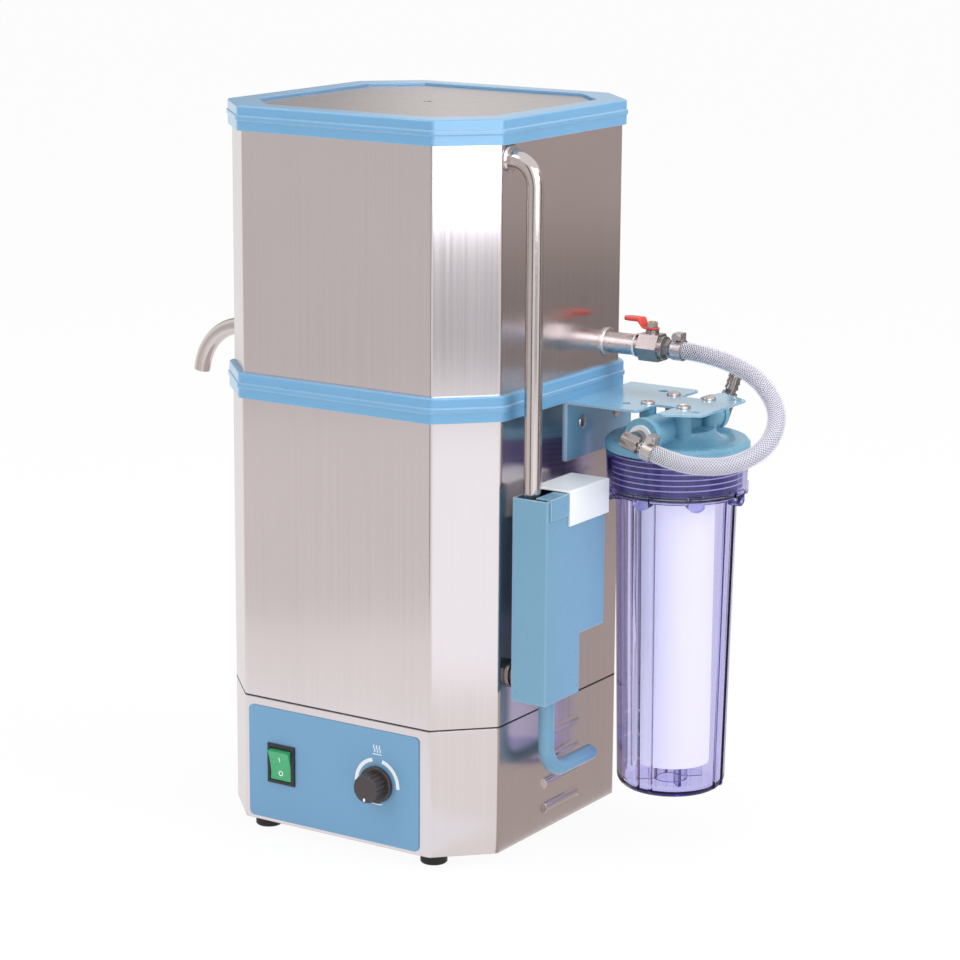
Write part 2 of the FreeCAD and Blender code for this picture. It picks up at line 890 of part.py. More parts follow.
def terminal_block():
    """Terminal block on the base plate, with a row of wire bores."""
    z0 = base_plate_thickness
    block = box(block_x - block_length / 2, block_x + block_length / 2, block_y - block_width / 2,
                block_y + block_width / 2, z0, z0 + block_height)
    for number in range(block_bore_count):
        x = block_x + (number - (block_bore_count - 1) / 2) * block_bore_pitch
        top = z0 + block_height
        block = block.cut(rod(block_bore_radius, V(x, block_y, top - block_bore_depth),
                              V(x, block_y, top + overrun)))
    return block


def cable_gland():
    """Gland in the rear wall for the mains lead."""
    wall = body_half
    outside = wall + gland_hex_height
    body = hexagon(gland_flats, gland_hex_height, V(gland_x, wall, gland_z), Y_AXIS)
    tip = outside + gland_dome_height
    outline = [
        (0, 0),
        (gland_dome_radius, 0),
        (gland_dome_radius, gland_dome_height - gland_dome_edge),
        (gland_dome_radius - gland_dome_edge, gland_dome_height),
        (0, gland_dome_height),
    ]
    body = body.fuse(turned(outline, V(gland_x, outside, gland_z), Y_AXIS))
    start = V(gland_x, wall - sheet_wall - gland_tail, gland_z)
    body = body.fuse(rod(gland_thread_radius, start, V(gland_x, wall, gland_z)))
    return body.cut(rod(gland_bore_radius, start, V(gland_x, tip, gland_z)))


def gland_nut():
    """Lock nut of the gland, inside the wall."""
    inside = body_half - sheet_wall
    nut = hexagon(gland_flats, gland_nut_height, V(gland_x, inside, gland_z), -Y_AXIS)
    return nut.cut(rod(gland_thread_radius + fit_gap, V(gland_x, inside, gland_z),
                       V(gland_x, inside - gland_nut_height, gland_z)))


# Boiler

def union_axis(x):
    """Point on the axis of the pipe from the level box to the boiler."""
    return V(x, union_y, union_z)


def boiler_casing():
    """Outer wall of the boiler storey."""
    shell = casing_tube(0, -sheet_wall, base_height, tank_flange_bottom)
    hole = rod(pipe_radius + plate_gap, union_axis(body_half - overrun), union_axis(body_half + overrun))
    return shell.cut(hole)


def heater_leg_places():
    """Where the two ends of the heater pass the tank's floor."""
    places = []
    for side in (-1, 1):
        angle = math.radians(side * heater_open_degrees / 2)
        places.append((heater_ring_radius * math.cos(angle), heater_ring_radius * math.sin(angle)))
    return places


def boiler_tank():
    """Round boiling pan with a rounded floor, hung from a flat eight-sided flange."""
    inner = tank_radius - tank_wall
    rise = tank_flange_bottom - tank_floor_z
    outer_bar = Part.makeCylinder(tank_radius, rise, V(0, 0, tank_floor_z))
    outer_bar = outer_bar.makeFillet(tank_floor_edge, edges_at(outer_bar, tank_floor_z))
    inner_bar = Part.makeCylinder(inner, rise, V(0, 0, tank_floor_z + tank_wall))
    inner_edges = edges_at(inner_bar, tank_floor_z + tank_wall)
    inner_bar = inner_bar.makeFillet(tank_floor_edge - tank_wall, inner_edges)
    flange = casing(0, tank_flange_bottom, gasket_bottom)
    flange = flange.cut(rod(inner, V(0, 0, tank_flange_bottom), V(0, 0, gasket_bottom)))
    tank = outer_bar.cut(inner_bar).fuse(flange)
    for x, y in heater_leg_places():
        tank = tank.cut(rod(heater_rod_radius + fit_gap, V(x, y, tank_floor_z - overrun),
                            V(x, y, tank_floor_z + overrun)))
    return tank.cut(rod(pipe_radius + fit_gap, union_axis(0), union_axis(body_half)))


def heating_element():
    """Tubular heater: an open ring over the floor, with both ends turned down through it."""
    level = tank_floor_z + heater_ring_lift
    start = math.radians(heater_open_degrees / 2)
    sweep = 2 * math.pi - 2 * start
    ring = []
    for step in range(heater_ring_sides + 1):
        angle = start + sweep * step / heater_ring_sides
        ring.append(V(heater_ring_radius * math.cos(angle), heater_ring_radius * math.sin(angle), level))
    foot = tank_floor_z - heater_nut_height - heater_tail
    first = V(ring[0].x, ring[0].y, foot)
    last = V(ring[-1].x, ring[-1].y, foot)
    return swept(route_wire([first] + ring + [last])[0], heater_rod_radius)


def heater_nuts():
    """Two nuts that draw the heater's ends tight under the tank."""
    nuts = []
    for x, y in heater_leg_places():
        low = tank_floor_z - heater_nut_height
        nut = hexagon(heater_nut_flats, heater_nut_height, V(x, y, low), Z_AXIS)
        nuts.append(nut.cut(rod(heater_rod_radius + fit_gap, V(x, y, low), V(x, y, tank_floor_z))))
    return Part.makeCompound(nuts)


def dry_cutout():
    """Low-water cut-out, a round thermal switch under the tank's floor."""
    low = tank_floor_z - cutout_height
    body = Part.makeCylinder(cutout_radius, cutout_height, V(cutout_x, 0, low))
    body = body.makeFillet(ring_edge, edges_at(body, low))
    for side in (-1, 1):
        x = cutout_x + side * cutout_radius / 2
        body = body.fuse(box(x - terminal_thickness / 2, x + terminal_thickness / 2, -terminal_width / 2,
                             terminal_width / 2, low - terminal_length / 2, low))
    return body


def boiler_union():
    """Pipe that feeds the boiler from the level box."""
    inside = math.sqrt(tank_radius ** 2 - union_y ** 2) - union_inside
    lock_face = box_left_x + box_wall + union_lock_length
    return pipe(pipe_radius, pipe_bore_radius, union_axis(inside), union_axis(lock_face))


def union_nuts():
    """Washer on the casing, nut against the level box and lock nut inside it."""
    bore = pipe_radius + fit_gap
    washer = pipe(union_washer_radius, bore, union_axis(body_half),
                  union_axis(body_half + union_washer_thickness))
    nut_x = box_left_x - union_nut_length
    nut = hexagon(union_flats, union_nut_length, union_axis(nut_x), X_AXIS)
    nut = nut.cut(rod(bore, union_axis(nut_x), union_axis(box_left_x)))
    lock_x = box_left_x + box_wall
    lock = hexagon(union_flats, union_lock_length, union_axis(lock_x), X_AXIS)
    lock = lock.cut(rod(bore, union_axis(lock_x), union_axis(lock_x + union_lock_length)))
    return Part.makeCompound([washer, nut, lock])


# Rings, vessel and condenser

def mid_ring():
    """Painted ring over the joint, stepped inside to the two casings that it holds together."""
    ring = beaded(mid_ring_proud, ring_bottom, ring_top)
    ring = ring.cut(casing(0, ring_bottom - overrun, gasket_bottom))
    return ring.cut(casing(-vessel_inset, gasket_bottom, ring_top + overrun))


def vessel_gasket():
    """Flat gasket between the tank's flange and the condenser."""
    seal = casing(-vessel_inset, gasket_bottom, vessel_floor)
    radius = tank_radius - tank_wall + gasket_margin
    return seal.cut(rod(radius, V(0, 0, gasket_bottom - overrun), V(0, 0, vessel_floor + overrun)))


def inlet_axis(x):
    """Point on the axis of the inlet nipple and its valve."""
    return V(x, inlet_y, inlet_z)


def upper_vessel():
    """Eight-sided water jacket round the condenser, with three pipe holes."""
    shell = casing_tube(-vessel_inset, -vessel_inset - sheet_wall, vessel_floor, body_top - rim_sheet)
    shell = shell.cut(rod(nipple_radius + fit_gap, inlet_axis(0), inlet_axis(body_width)))
    shell = shell.cut(rod(pipe_radius + fit_gap, V(0, overflow_y, overflow_z),
                          V(body_width, overflow_y, overflow_z)))
    return shell.cut(rod(pipe_radius + fit_gap, V(0, 0, spout_z), V(-body_width, 0, spout_z)))


def dome_bar(radius, z0):
    """Solid dome: an upright shoulder with half a ball on it."""
    shoulder = vessel_floor + dome_shoulder
    bar = Part.makeCylinder(radius, shoulder - z0, V(0, 0, z0))
    return bar.fuse(Part.makeSphere(radius, V(0, 0, shoulder), Z_AXIS, 0, 90, 360)).removeSplitter()


def condenser_dome():
    """Dome over the boiler, cooled from above, on a flange that closes the water jacket."""
    flange_offset = -vessel_inset - sheet_wall - plate_gap
    flange = casing(flange_offset, vessel_floor, vessel_floor + tank_flange_thickness)
    dome = dome_bar(dome_radius, vessel_floor).fuse(flange)
    dome = dome.cut(dome_bar(dome_radius - dome_wall, vessel_floor - overrun))
    return dome.cut(rod(pipe_bore_radius, V(0, 0, spout_z), V(-body_width, 0, spout_z)))


def distillate_gutter():
    """Ring gutter inside the dome's foot that catches the distilled water."""
    outer = dome_radius - dome_wall - plate_gap / 2
    inner = outer - gutter_width
    floor_top = spout_z - pipe_bore_radius
    floor_bottom = floor_top - gutter_sheet
    outline = [
        (inner, floor_bottom),
        (outer, floor_bottom),
        (outer, floor_top),
        (inner + gutter_sheet, floor_top),
        (inner + gutter_sheet, floor_top + gutter_wall_height),
        (inner, floor_top + gutter_wall_height),
    ]
    return turned(outline)


def distillate_spout():
    """Polished spout that leaves the left wall and bends down to the receiver."""
    start_x = -dome_radius - plate_gap
    bend_run = spout_bend_radius * math.tan(math.radians(spout_bend_degrees / 2))
    corner_x = -vessel_half - spout_straight - bend_run
    setback = spout_bend_radius * math.tan(math.radians(spout_bend_degrees / 2))
    reach = setback + spout_tail
    angle = math.radians(spout_bend_degrees)
    corner = V(corner_x, 0, spout_z)
    end = corner + V(-reach * math.cos(angle), 0, -reach * math.sin(angle))
    return bent_pipe(V(start_x, 0, spout_z), corner, end, spout_bend_radius, pipe_radius, pipe_bore_radius)


def pipe_welds():
    """Weld collars where the spout and the overflow pipe leave the vessel."""
    bore = pipe_radius + fit_gap
    left = weld_ring(spout_weld_radius, bore, V(-vessel_half, 0, spout_z), -X_AXIS)
    right = weld_ring(weld_ring_radius, bore, V(vessel_half, overflow_y, overflow_z), X_AXIS)
    return Part.makeCompound([left, right])


def overflow_pipe():
    """Polished pipe from the top of the water jacket down into the level box."""
    start = V(vessel_half - sheet_wall - pipe_start_inside, overflow_y, overflow_z)
    corner = V(overflow_x, overflow_y, overflow_z)
    end = V(overflow_x, overflow_y, box_top_z - overflow_dip)
    return bent_pipe(start, corner, end, overflow_bend_radius, pipe_radius, pipe_bore_radius)


def top_ring():
    """Painted top ring: beaded skirt, flat rim, turned-down mouth and a ledge for the lid."""
    lid_bottom = body_top - lid_recess - lid_thickness
    skirt = beaded(top_ring_proud, vessel_top, body_top)
    skirt = skirt.cut(casing(-vessel_inset, vessel_top - overrun, body_top - rim_sheet))
    skirt = skirt.cut(opening(0, vessel_top, body_top + overrun))
    lip = opening(rim_sheet, lid_bottom, body_top - rim_sheet).cut(opening(0, lid_bottom, body_top))
    ledge = opening(rim_sheet, lid_bottom - rim_sheet, lid_bottom)
    ledge = ledge.cut(opening(-lid_ledge, lid_bottom - rim_sheet, lid_bottom))
    return skirt.fuse(lip).fuse(ledge)


def top_lid():
    """Flat steel lid with one finger hole, lying loose on the ledge."""
    lid_bottom = body_top - lid_recess - lid_thickness
    lid = opening(-lid_gap, lid_bottom, lid_bottom + lid_thickness)
    return lid.cut(rod(lid_hole_radius, V(0, 0, lid_bottom - overrun), V(0, 0, body_top)))


# Level box

def box_bar(inset, top):
    """Level box as a solid bar, smaller by inset on every side but its top."""
    x0 = box_left_x + inset
    corners = [
        V(x0, box_front_y + inset, box_bottom_z + inset),
        V(x0, box_foot_rear_y - inset, box_bottom_z + inset),
        V(x0, box_foot_rear_y - inset, box_notch_z + inset),
        V(x0, box_rear_y - inset, box_notch_z + inset),
        V(x0, box_rear_y - inset, top),
        V(x0, box_front_y + inset, top),
    ]
    return Part.Face(Part.makePolygon(corners + corners[:1])).extrude(V(box_width - 2 * inset, 0, 0))


def level_box():
    """Open-topped sheet box, notched below at the back, with its union and drain holes."""
    shell = box_bar(0, box_top_z)
    shell = shell.makeFillet(box_edge, edges_at(shell, box_bottom_z) + upright_edges(shell))
    shell = shell.cut(box_bar(box_wall, box_top_z + overrun))
    shell = shell.cut(rod(pipe_radius + fit_gap, union_axis(box_left_x - overrun),
                          union_axis(box_left_x + overrun)))
    return shell.cut(rod(drain_bore_radius, V(overflow_x, standpipe_y, box_bottom_z - overrun),
                         V(overflow_x, standpipe_y, box_bottom_z + overrun)))


def box_clip():
    """Folded strip hooked over the right-hand edge of the level box."""
    y0 = box_front_y + clip_front_inset
    outside = box_right_x + clip_thickness
    reach = box_right_x - box_wall - slip_gap - clip_thickness
    top = box_top_z + clip_thickness
    corners = [
        (outside, box_top_z - clip_skirt_outside),
        (outside, top),
        (box_right_x - clip_reach, top),
        (box_right_x - clip_reach, box_top_z),
        (reach, box_top_z),
        (reach, box_top_z - clip_skirt_inside),
        (reach + clip_thickness, box_top_z - clip_skirt_inside),
        (reach + clip_thickness, box_top_z),
        (box_right_x, box_top_z),
        (box_right_x, box_top_z - clip_skirt_outside),
    ]
    points = [V(x, y0, z) for x, z in corners]
    return Part.Face(Part.makePolygon(points + points[:1])).extrude(V(0, clip_length, 0))


def level_box_cover():
    """Glossy saddle cover over the rear of the level box."""
    x0 = box_left_x - slip_gap - cover_thickness
    x1 = box_right_x + slip_gap + cover_thickness
    y1 = box_rear_y + cover_rear_gap + cover_thickness
    top = box_top_z + cover_lift + cover_thickness
    low = top - cover_skirt
    shell = box(x0, x1, cover_front_y, y1, low, top)
    shell = shell.makeFillet(cover_edge, edges_at(shell, top))
    hollow = box(x0 + cover_thickness, x1 - cover_thickness, cover_front_y - overrun, y1 - cover_thickness,
                 low - overrun, box_top_z)
    groove = box(x0 + cover_edge + cover_thickness, x1 - cover_edge - cover_thickness,
                 cover_front_y - overrun, box_rear_y - box_wall, box_top_z - overrun, top - cover_thickness)
    return shell.cut(hollow).cut(groove)


def standpipe():
    """Upright tube inside the level box: its rim sets the water level."""
    return pipe(drain_radius, drain_bore_radius, V(overflow_x, standpipe_y, box_bottom_z + box_wall),
                V(overflow_x, standpipe_y, standpipe_top_z))


def drain_elbow():
    """Painted tube under the level box that bends to the rear."""
    start = V(overflow_x, standpipe_y, box_bottom_z)
    corner = V(overflow_x, standpipe_y, drain_axis_z)
    end = V(overflow_x, drain_end_y, drain_axis_z)
    return bent_pipe(start, corner, end, drain_bend_radius, drain_radius, drain_bore_radius)


# Inlet valve

def inlet_nipple():
    """Steel nipple welded into the vessel's right-hand wall."""
    start = inlet_axis(vessel_half - sheet_wall - pipe_start_inside)
    end = inlet_axis(body_half + nipple_length)
    tube = rod(nipple_radius, start, end)
    collar = weld_ring(nipple_weld_radius, nipple_bore_radius, inlet_axis(vessel_half), X_AXIS)
    return tube.fuse(collar).cut(rod(nipple_bore_radius, start, end))


def seal_ring():
    """White seal between the nipple and the valve."""
    start = body_half + nipple_length
    return pipe(seal_ring_radius, nipple_bore_radius, inlet_axis(start),
                inlet_axis(start + seal_ring_length))


def valve_middle():
    """Centre of the ball in the valve."""
    return inlet_axis(valve_start_x + valve_length / 2)


def valve_neck_top():
    """Height of the stem neck on top of the valve."""
    return inlet_z + valve_flats / 2 + valve_neck_height


def valve_body():
    """Hexagon ball valve with turned ends, a stem neck and the seat of its ball."""
    middle = valve_middle()
    body = hexagon(valve_flats, valve_length - 2 * valve_end_length,
                   inlet_axis(valve_start_x + valve_end_length), X_AXIS, 30)
    ends = rod(valve_end_radius, inlet_axis(valve_start_x), inlet_axis(valve_end_x))
    neck = rod(valve_neck_radius, middle, V(middle.x, middle.y, valve_neck_top()))
    body = body.fuse(ends).fuse(neck)
    body = body.cut(Part.makeSphere(ball_radius + fit_gap, middle))
    body = body.cut(rod(valve_bore_radius, inlet_axis(valve_start_x), inlet_axis(valve_end_x)))
    return body.cut(rod(stem_radius + fit_gap, middle, V(middle.x, middle.y, valve_neck_top() + overrun)))


def valve_ball():
    """Ball with its bore along the pipe: the valve stands open."""
    middle = valve_middle()
    ball = Part.makeSphere(ball_radius, middle)
    flat = middle.z + ball_flat_height
    ball = ball.cut(box(middle.x - ball_radius, middle.x + ball_radius, middle.y - ball_radius,
                        middle.y + ball_radius, flat, flat + ball_radius))
    return ball.cut(rod(valve_bore_radius, middle - X_AXIS * body_half, middle + X_AXIS * body_half))


def valve_stem():
    """Stem that turns the ball."""
    middle = valve_middle()
    return rod(stem_radius, V(middle.x, middle.y, middle.z + ball_flat_height),
               V(middle.x, middle.y, valve_neck_top() + stem_above_neck))


def valve_lever():
    """Red lever folded twice, pointing back along the pipe to the casing."""
    middle = valve_middle()
    low = valve_neck_top() + slip_gap
    x0 = middle.x
    root = x0 - lever_root
    step = root - lever_step_run
    tip = step - lever_paddle_length
    high = low + lever_step_rise
    corners = [(x0, low), (root, low), (step, high), (tip, high), (tip, high + lever_thickness),
               (step + lever_thickness / 2, high + lever_thickness),
               (root + lever_thickness / 2, low + lever_thickness), (x0, low + lever_thickness)]
    points = [V(x, inlet_y - lever_width / 2, z) for x, z in corners]
    strip = Part.Face(Part.makePolygon(points + points[:1])).extrude(V(0, lever_width, 0))
    ends = [e for e in upright_edges(strip) if e.BoundBox.XMax < tip + slip_gap]
    strip = strip.makeFillet(lever_width / 2 - slip_gap, ends)
    hub = Part.makeCylinder(lever_hub_radius, lever_thickness, V(x0, inlet_y, low))
    lever = strip.fuse(hub)
    return lever.cut(rod(stem_radius + fit_gap, V(x0, inlet_y, low - overrun),
                         V(x0, inlet_y, high + overrun)))


def lever_nut():
    """Nut that holds the lever on the stem."""
    middle = valve_middle()
    low = valve_neck_top() + slip_gap + lever_thickness
    nut = hexagon(lever_nut_flats, lever_nut_height, V(middle.x, middle.y, low), Z_AXIS)
    return nut.cut(rod(stem_radius + fit_gap, V(middle.x, middle.y, low - overrun),
                       V(middle.x, middle.y, low + lever_nut_height + overrun)))


# Hose fittings

def barb(at, axis):
    """Hose barb standing on a point: a plain shank, sharp ridges and a plain nose."""
    outline = [(0, 0), (barb_shank_radius, 0), (barb_shank_radius, barb_shank_length)]
    height = barb_shank_length
    for number in range(barb_ridge_count):
        outline.append((barb_ridge_radius, height))
        height = height + barb_ridge_length
        outline.append((barb_shank_radius, height))
    height = height + barb_nose_length
    outline.append((barb_shank_radius, height))
    outline.append((0, height))
    return turned(outline, at, axis)


def barb_length():
    """Length of a hose barb."""
    return barb_shank_length + barb_ridge_count * barb_ridge_length + barb_nose_length


def hose_tail():
    """Hose tail screwed into the valve."""
    body = hexagon(tail_hex_flats, tail_hex_length, inlet_axis(valve_end_x), X_AXIS)
    body = body.fuse(barb(inlet_axis(valve_end_x + tail_hex_length), X_AXIS))
    end = valve_end_x + tail_hex_length + barb_length()
    return body.cut(rod(barb_bore_radius, inlet_axis(valve_end_x), inlet_axis(end)))


def arm_direction(degrees):
    """Direction of an elbow's arm: +X turned up by so many degrees."""
    angle = math.radians(degrees)
    return V(math.cos(angle), 0, math.sin(angle))


def knee(side):
    """Corner of an elbow, in front of (-1) or behind (+1) the filter head."""
    return V(filter_x, filter_y + side * (port_half_length + elbow_knee_reach), port_z)


def hose_elbow(side, degrees):
    """Hose elbow: a stub into the port's bush, a round body and a barbed arm."""
    corner = knee(side)
    face = V(filter_x, filter_y + side * port_half_length, port_z)
    stub_end = face + V(0, -side * port_socket_depth, 0)
    arm = arm_direction(degrees)
    arm_end = corner + arm * elbow_arm_length
    body = Part.makeSphere(elbow_body_radius, corner)
    shoulder = face + V(0, side * (bush_rim_length + plate_gap), 0)
    body = body.fuse(rod(elbow_body_radius, shoulder, corner))
    body = body.fuse(rod(elbow_body_radius, corner, arm_end))
    body = body.fuse(rod(elbow_stub_radius, stub_end, shoulder))
    body = body.fuse(barb(arm_end, arm))
    tip = arm_end + arm * barb_length()
    return body.cut(rod(barb_bore_radius, corner, tip)).cut(rod(barb_bore_radius, stub_end, corner))


def port_bushes():
    """White reducing bushes in the two ports of the filter head."""
    bushes = []
    for side in (-1, 1):
        face = V(filter_x, filter_y + side * port_half_length, port_z)
        inner = face + V(0, -side * port_socket_depth, 0)
        outer = face + V(0, side * bush_rim_length, 0)
        body = rod(port_socket_radius - fit_gap, inner, face).fuse(rod(bush_rim_radius, face, outer))
        bushes.append(body.cut(rod(elbow_stub_radius + fit_gap, inner, outer)))
    return Part.makeCompound(bushes)


def hose_start():
    """Point on the valve's tail where the hose stops against the hexagon."""
    return inlet_axis(valve_end_x + tail_hex_length)


def hose_end():
    """Point on the front elbow's arm where the hose stops."""
    return knee(-1) + arm_direction(outlet_elbow_degrees) * elbow_arm_length


def hose_route():
    """Points of the hose from the valve to the front elbow."""
    first = hose_start() + X_AXIS * hose_first_run
    last = hose_end() + arm_direction(outlet_elbow_degrees) * hose_last_run
    above = V(filter_x, filter_y, bracket_top)
    middle = [above + V(x, y, z) for x, y, z in hose_middle_points]
    return [hose_start(), first] + middle + [last, hose_end()]


def water_hose():
    """Braided hose along its route."""
    path, radii = route_wire(hose_route())
    print("hose length", round(path.Length, 1), "bend radii", [round(r, 1) for r in radii])
    body = swept(path, hose_radius)
    section = math.pi * hose_radius ** 2
    print("hose volume over section times length", round(body.Volume / (section * path.Length), 5))
    return body.cut(swept(path, hose_bore_radius))


def hose_clamp(at, axis, spin_degrees):
    """Band round the hose with its screw housing, made standing on a point along an axis."""
    inner = hose_radius + fit_gap
    outer = inner + clamp_thickness
    band = Part.makeCylinder(outer, clamp_width).cut(Part.makeCylinder(inner, clamp_width))
    half_length = clamp_housing_length / 2
    low = (clamp_width - clamp_housing_width) / 2
    housing = box(outer - clamp_thickness / 2, outer + clamp_housing_height, -half_length, half_length,
                  low, low + clamp_housing_width)
    centre_x = outer + clamp_housing_height / 2
    screw = rod(clamp_screw_radius, V(centre_x, half_length, clamp_width / 2),
                V(centre_x, half_length + clamp_screw_reach, clamp_width / 2))
    housing = housing.cut(Part.makeCylinder(inner, clamp_width))
    return placed(band.fuse(housing).fuse(screw), at, axis, spin_degrees)


def hose_clamps():
    """Two screw clamps, one at each end of the hose."""
    arm = arm_direction(outlet_elbow_degrees)
    first = hose_clamp(hose_start() + X_AXIS * clamp_setback, X_AXIS, 180)
    second = hose_clamp(hose_end() + arm * clamp_setback, arm, 180)
    return Part.makeCompound([first, second])


# Filter

def filter_bracket():
    """Folded bracket: a flange on the casing and a notched plate that carries the filter head."""
    wall = body_half
    y0 = filter_y - bracket_half_width
    y1 = filter_y + bracket_half_width
    end_x = filter_x + bracket_beyond_axis
    low = bracket_top - bracket_drop
    corners = [(wall, low), (wall, bracket_top), (end_x, bracket_top), (end_x, bracket_under),
               (wall + bracket_sheet, bracket_under), (wall + bracket_sheet, low)]
    points = [V(x, y0, z) for x, z in corners]
    body = Part.Face(Part.makePolygon(points + points[:1])).extrude(V(0, y1 - y0, 0))
    outer = [e for e in body.Edges if e.BoundBox.YLength > bracket_half_width
             and e.BoundBox.XMax < wall + slip_gap and e.BoundBox.ZMin > bracket_under]
    inner = [e for e in body.Edges if e.BoundBox.YLength > bracket_half_width
             and abs(e.BoundBox.XMax - wall - bracket_sheet) < slip_gap
             and e.BoundBox.ZMin > low + bracket_sheet]
    body = body.makeFillet(bracket_bend, outer)
    body = body.makeFillet(bracket_bend / 2, [e for e in body.Edges if same_place(e, inner[0])])
    body = body.common(plate_outline(low, bracket_top))
    for side in (-1, 1):
        y = filter_y + side * wall_hole_half_pitch
        z = bracket_top - wall_hole_drop
        body = body.cut(rod(wall_hole_radius, V(wall - overrun, y, z), V(wall + overrun, y, z)))
        for across in (-1, 1):
            x = filter_x + across * spare_hole_half_x
            y = filter_y + side * spare_hole_half_y
            body = body.cut(rod(spare_hole_radius, V(x, y, low), V(x, y, bracket_top + overrun)))
            x = filter_x + across * pillar_half_x
            y = filter_y + side * pillar_half_y
            body = body.cut(rod(screw_clear_radius, V(x, y, low), V(x, y, bracket_top + overrun)))
    return body


def same_place(edge, other):
    """True when two edges have the same middle."""
    return (edge.CenterOfMass - other.CenterOfMass).Length < slip_gap / 10


def plate_outline(z0, z1):
    """Plan of the bracket: two notches beside the ports and its outer corners cut off."""
    notch = bracket_notch_width / 2
    edge = bracket_half_width
    deep = edge - bracket_notch_depth
    end = bracket_beyond_axis
    wall = -filter_reach
    side = [(wall, -edge), (-notch, -edge), (-notch, -deep), (notch, -deep), (notch, -edge),
            (end - bracket_corner_run, -edge), (end, -edge + bracket_corner_set)]
    ring = side + [(x, -y) for x, y in reversed(side)]
    points = [V(filter_x + x, filter_y + y, z0) for x, y in ring]
    plan = Part.Face(Part.makePolygon(points + points[:1])).extrude(V(0, 0, z1 - z0))
    soft = [e for e in upright_edges(plan) if e.BoundBox.XMin > body_half + bracket_sheet]
    return plan.makeFillet(bracket_tip_round, soft)


def screw_places():
    """Where the four screws hold the filter head."""
    return [(filter_x + sx * pillar_half_x, filter_y + sy * pillar_half_y)
            for sx in (-1, 1) for sy in (-1, 1)]


def bracket_screws():
    """Four pan-head screws through the bracket into the head's pillars."""
    outline = [
        (0, -screw_length),
        (screw_radius, -screw_length),
        (screw_radius, 0),
        (screw_head_radius, 0),
        (screw_head_radius, screw_head_height - screw_head_edge),
        (screw_head_radius - screw_head_edge, screw_head_height),
        (screw_recess_radius, screw_head_height),
        (screw_recess_radius, screw_head_height - screw_recess_depth),
        (0, screw_head_height - screw_recess_depth),
    ]
    return Part.makeCompound([turned(outline, V(x, y, bracket_top)) for x, y in screw_places()])


def head_body():
    """Turned body of the filter head: hub, flare, flange and threaded skirt."""
    hub_top = flange_top + hub_flare_rise
    cavity = flange_bottom - head_cavity_above_flange
    skirt_inner = thread_skirt_radius - thread_skirt_wall
    corners = [
        V(0, 0, hub_top),
        V(0, 0, cavity),
        V(skirt_inner, 0, cavity),
        V(skirt_inner, 0, skirt_bottom),
        V(thread_skirt_radius, 0, skirt_bottom),
        V(thread_skirt_radius, 0, flange_bottom),
        V(flange_radius, 0, flange_bottom),
        V(flange_radius, 0, flange_top - flange_edge),
        V(flange_radius - flange_edge, 0, flange_top),
        V(hub_flare_radius, 0, flange_top),
    ]
    edges = [Part.LineSegment(a, b).toShape() for a, b in zip(corners, corners[1:])]
    top = V(hub_radius, 0, hub_top)
    middle = V(hub_flare_middle_radius, 0, flange_top + hub_flare_middle_rise)
    edges.append(Part.Arc(corners[-1], middle, top).toShape())
    edges.append(Part.LineSegment(top, corners[0]).toShape())
    turned_body = Part.Face(Part.Wire(edges)).revolve(V(0, 0, 0), Z_AXIS, 360)
    return placed(turned_body, V(filter_x, filter_y, 0), Z_AXIS)


def filter_head():
    """Moulded head of the filter: two ports in line, four screw pillars and an inner spigot."""
    head = head_body()
    axis = V(filter_x, filter_y, port_z)
    for side in (-1, 1):
        face = axis + V(0, side * port_half_length, 0)
        head = head.fuse(rod(port_radius, axis, face))
        head = head.fuse(rod(port_collar_radius, face - V(0, side * port_collar_length, 0), face))
    for x, y in screw_places():
        head = head.fuse(rod(pillar_radius, V(x, y, flange_bottom), V(x, y, bracket_under)))
    cavity = flange_bottom - head_cavity_above_flange
    land = cartridge_top + cartridge_gap
    head = head.fuse(rod(spigot_land_radius, V(filter_x, filter_y, cavity), V(filter_x, filter_y, land)))
    head = head.fuse(rod(spigot_radius, V(filter_x, filter_y, land),
                         V(filter_x, filter_y, cartridge_top - spigot_reach)))
    return cut_passages(head, axis)


def cut_passages(head, axis):
    """Bore the sockets, the outlet through the spigot, the inlet duct and the screw holes."""
    for side in (-1, 1):
        face = axis + V(0, side * port_half_length, 0)
        head = head.cut(rod(port_socket_radius, face - V(0, side * port_socket_depth, 0), face))
    front = axis - V(0, port_half_length, 0)
    head = head.cut(rod(port_passage_radius, front, axis))
    head = head.cut(rod(port_passage_radius, axis, V(filter_x, filter_y, cartridge_top - spigot_reach)))
    duct = axis + V(0, inlet_duct_offset, 0)
    head = head.cut(rod(port_passage_radius, duct, axis + V(0, port_half_length, 0)))
    duct_foot = V(duct.x, duct.y, flange_bottom - head_cavity_above_flange)
    head = head.cut(rod(port_passage_radius, duct_foot, duct))
    for x, y in screw_places():
        head = head.cut(rod(screw_radius + fit_gap, V(x, y, bracket_under - screw_length + bracket_sheet),
                            V(x, y, bracket_under)))
    return head


def sump_outer():
    """Outside of the clear sump: screw collar, tapered body and rounded foot."""
    body = turned([
        (0, sump_bottom),
        (sump_foot_radius, sump_bottom),
        (sump_top_radius, collar_bottom),
        (collar_foot_radius, collar_bottom),
        (collar_radius, collar_top),
        (0, collar_top),
    ])
    body = body.makeFillet(sump_floor_round, edges_at(body, sump_bottom))
    return body.makeFillet(collar_edge, [e for e in edges_at(body, collar_bottom)
                                         if e.Curve.Radius > (collar_foot_radius + sump_top_radius) / 2])


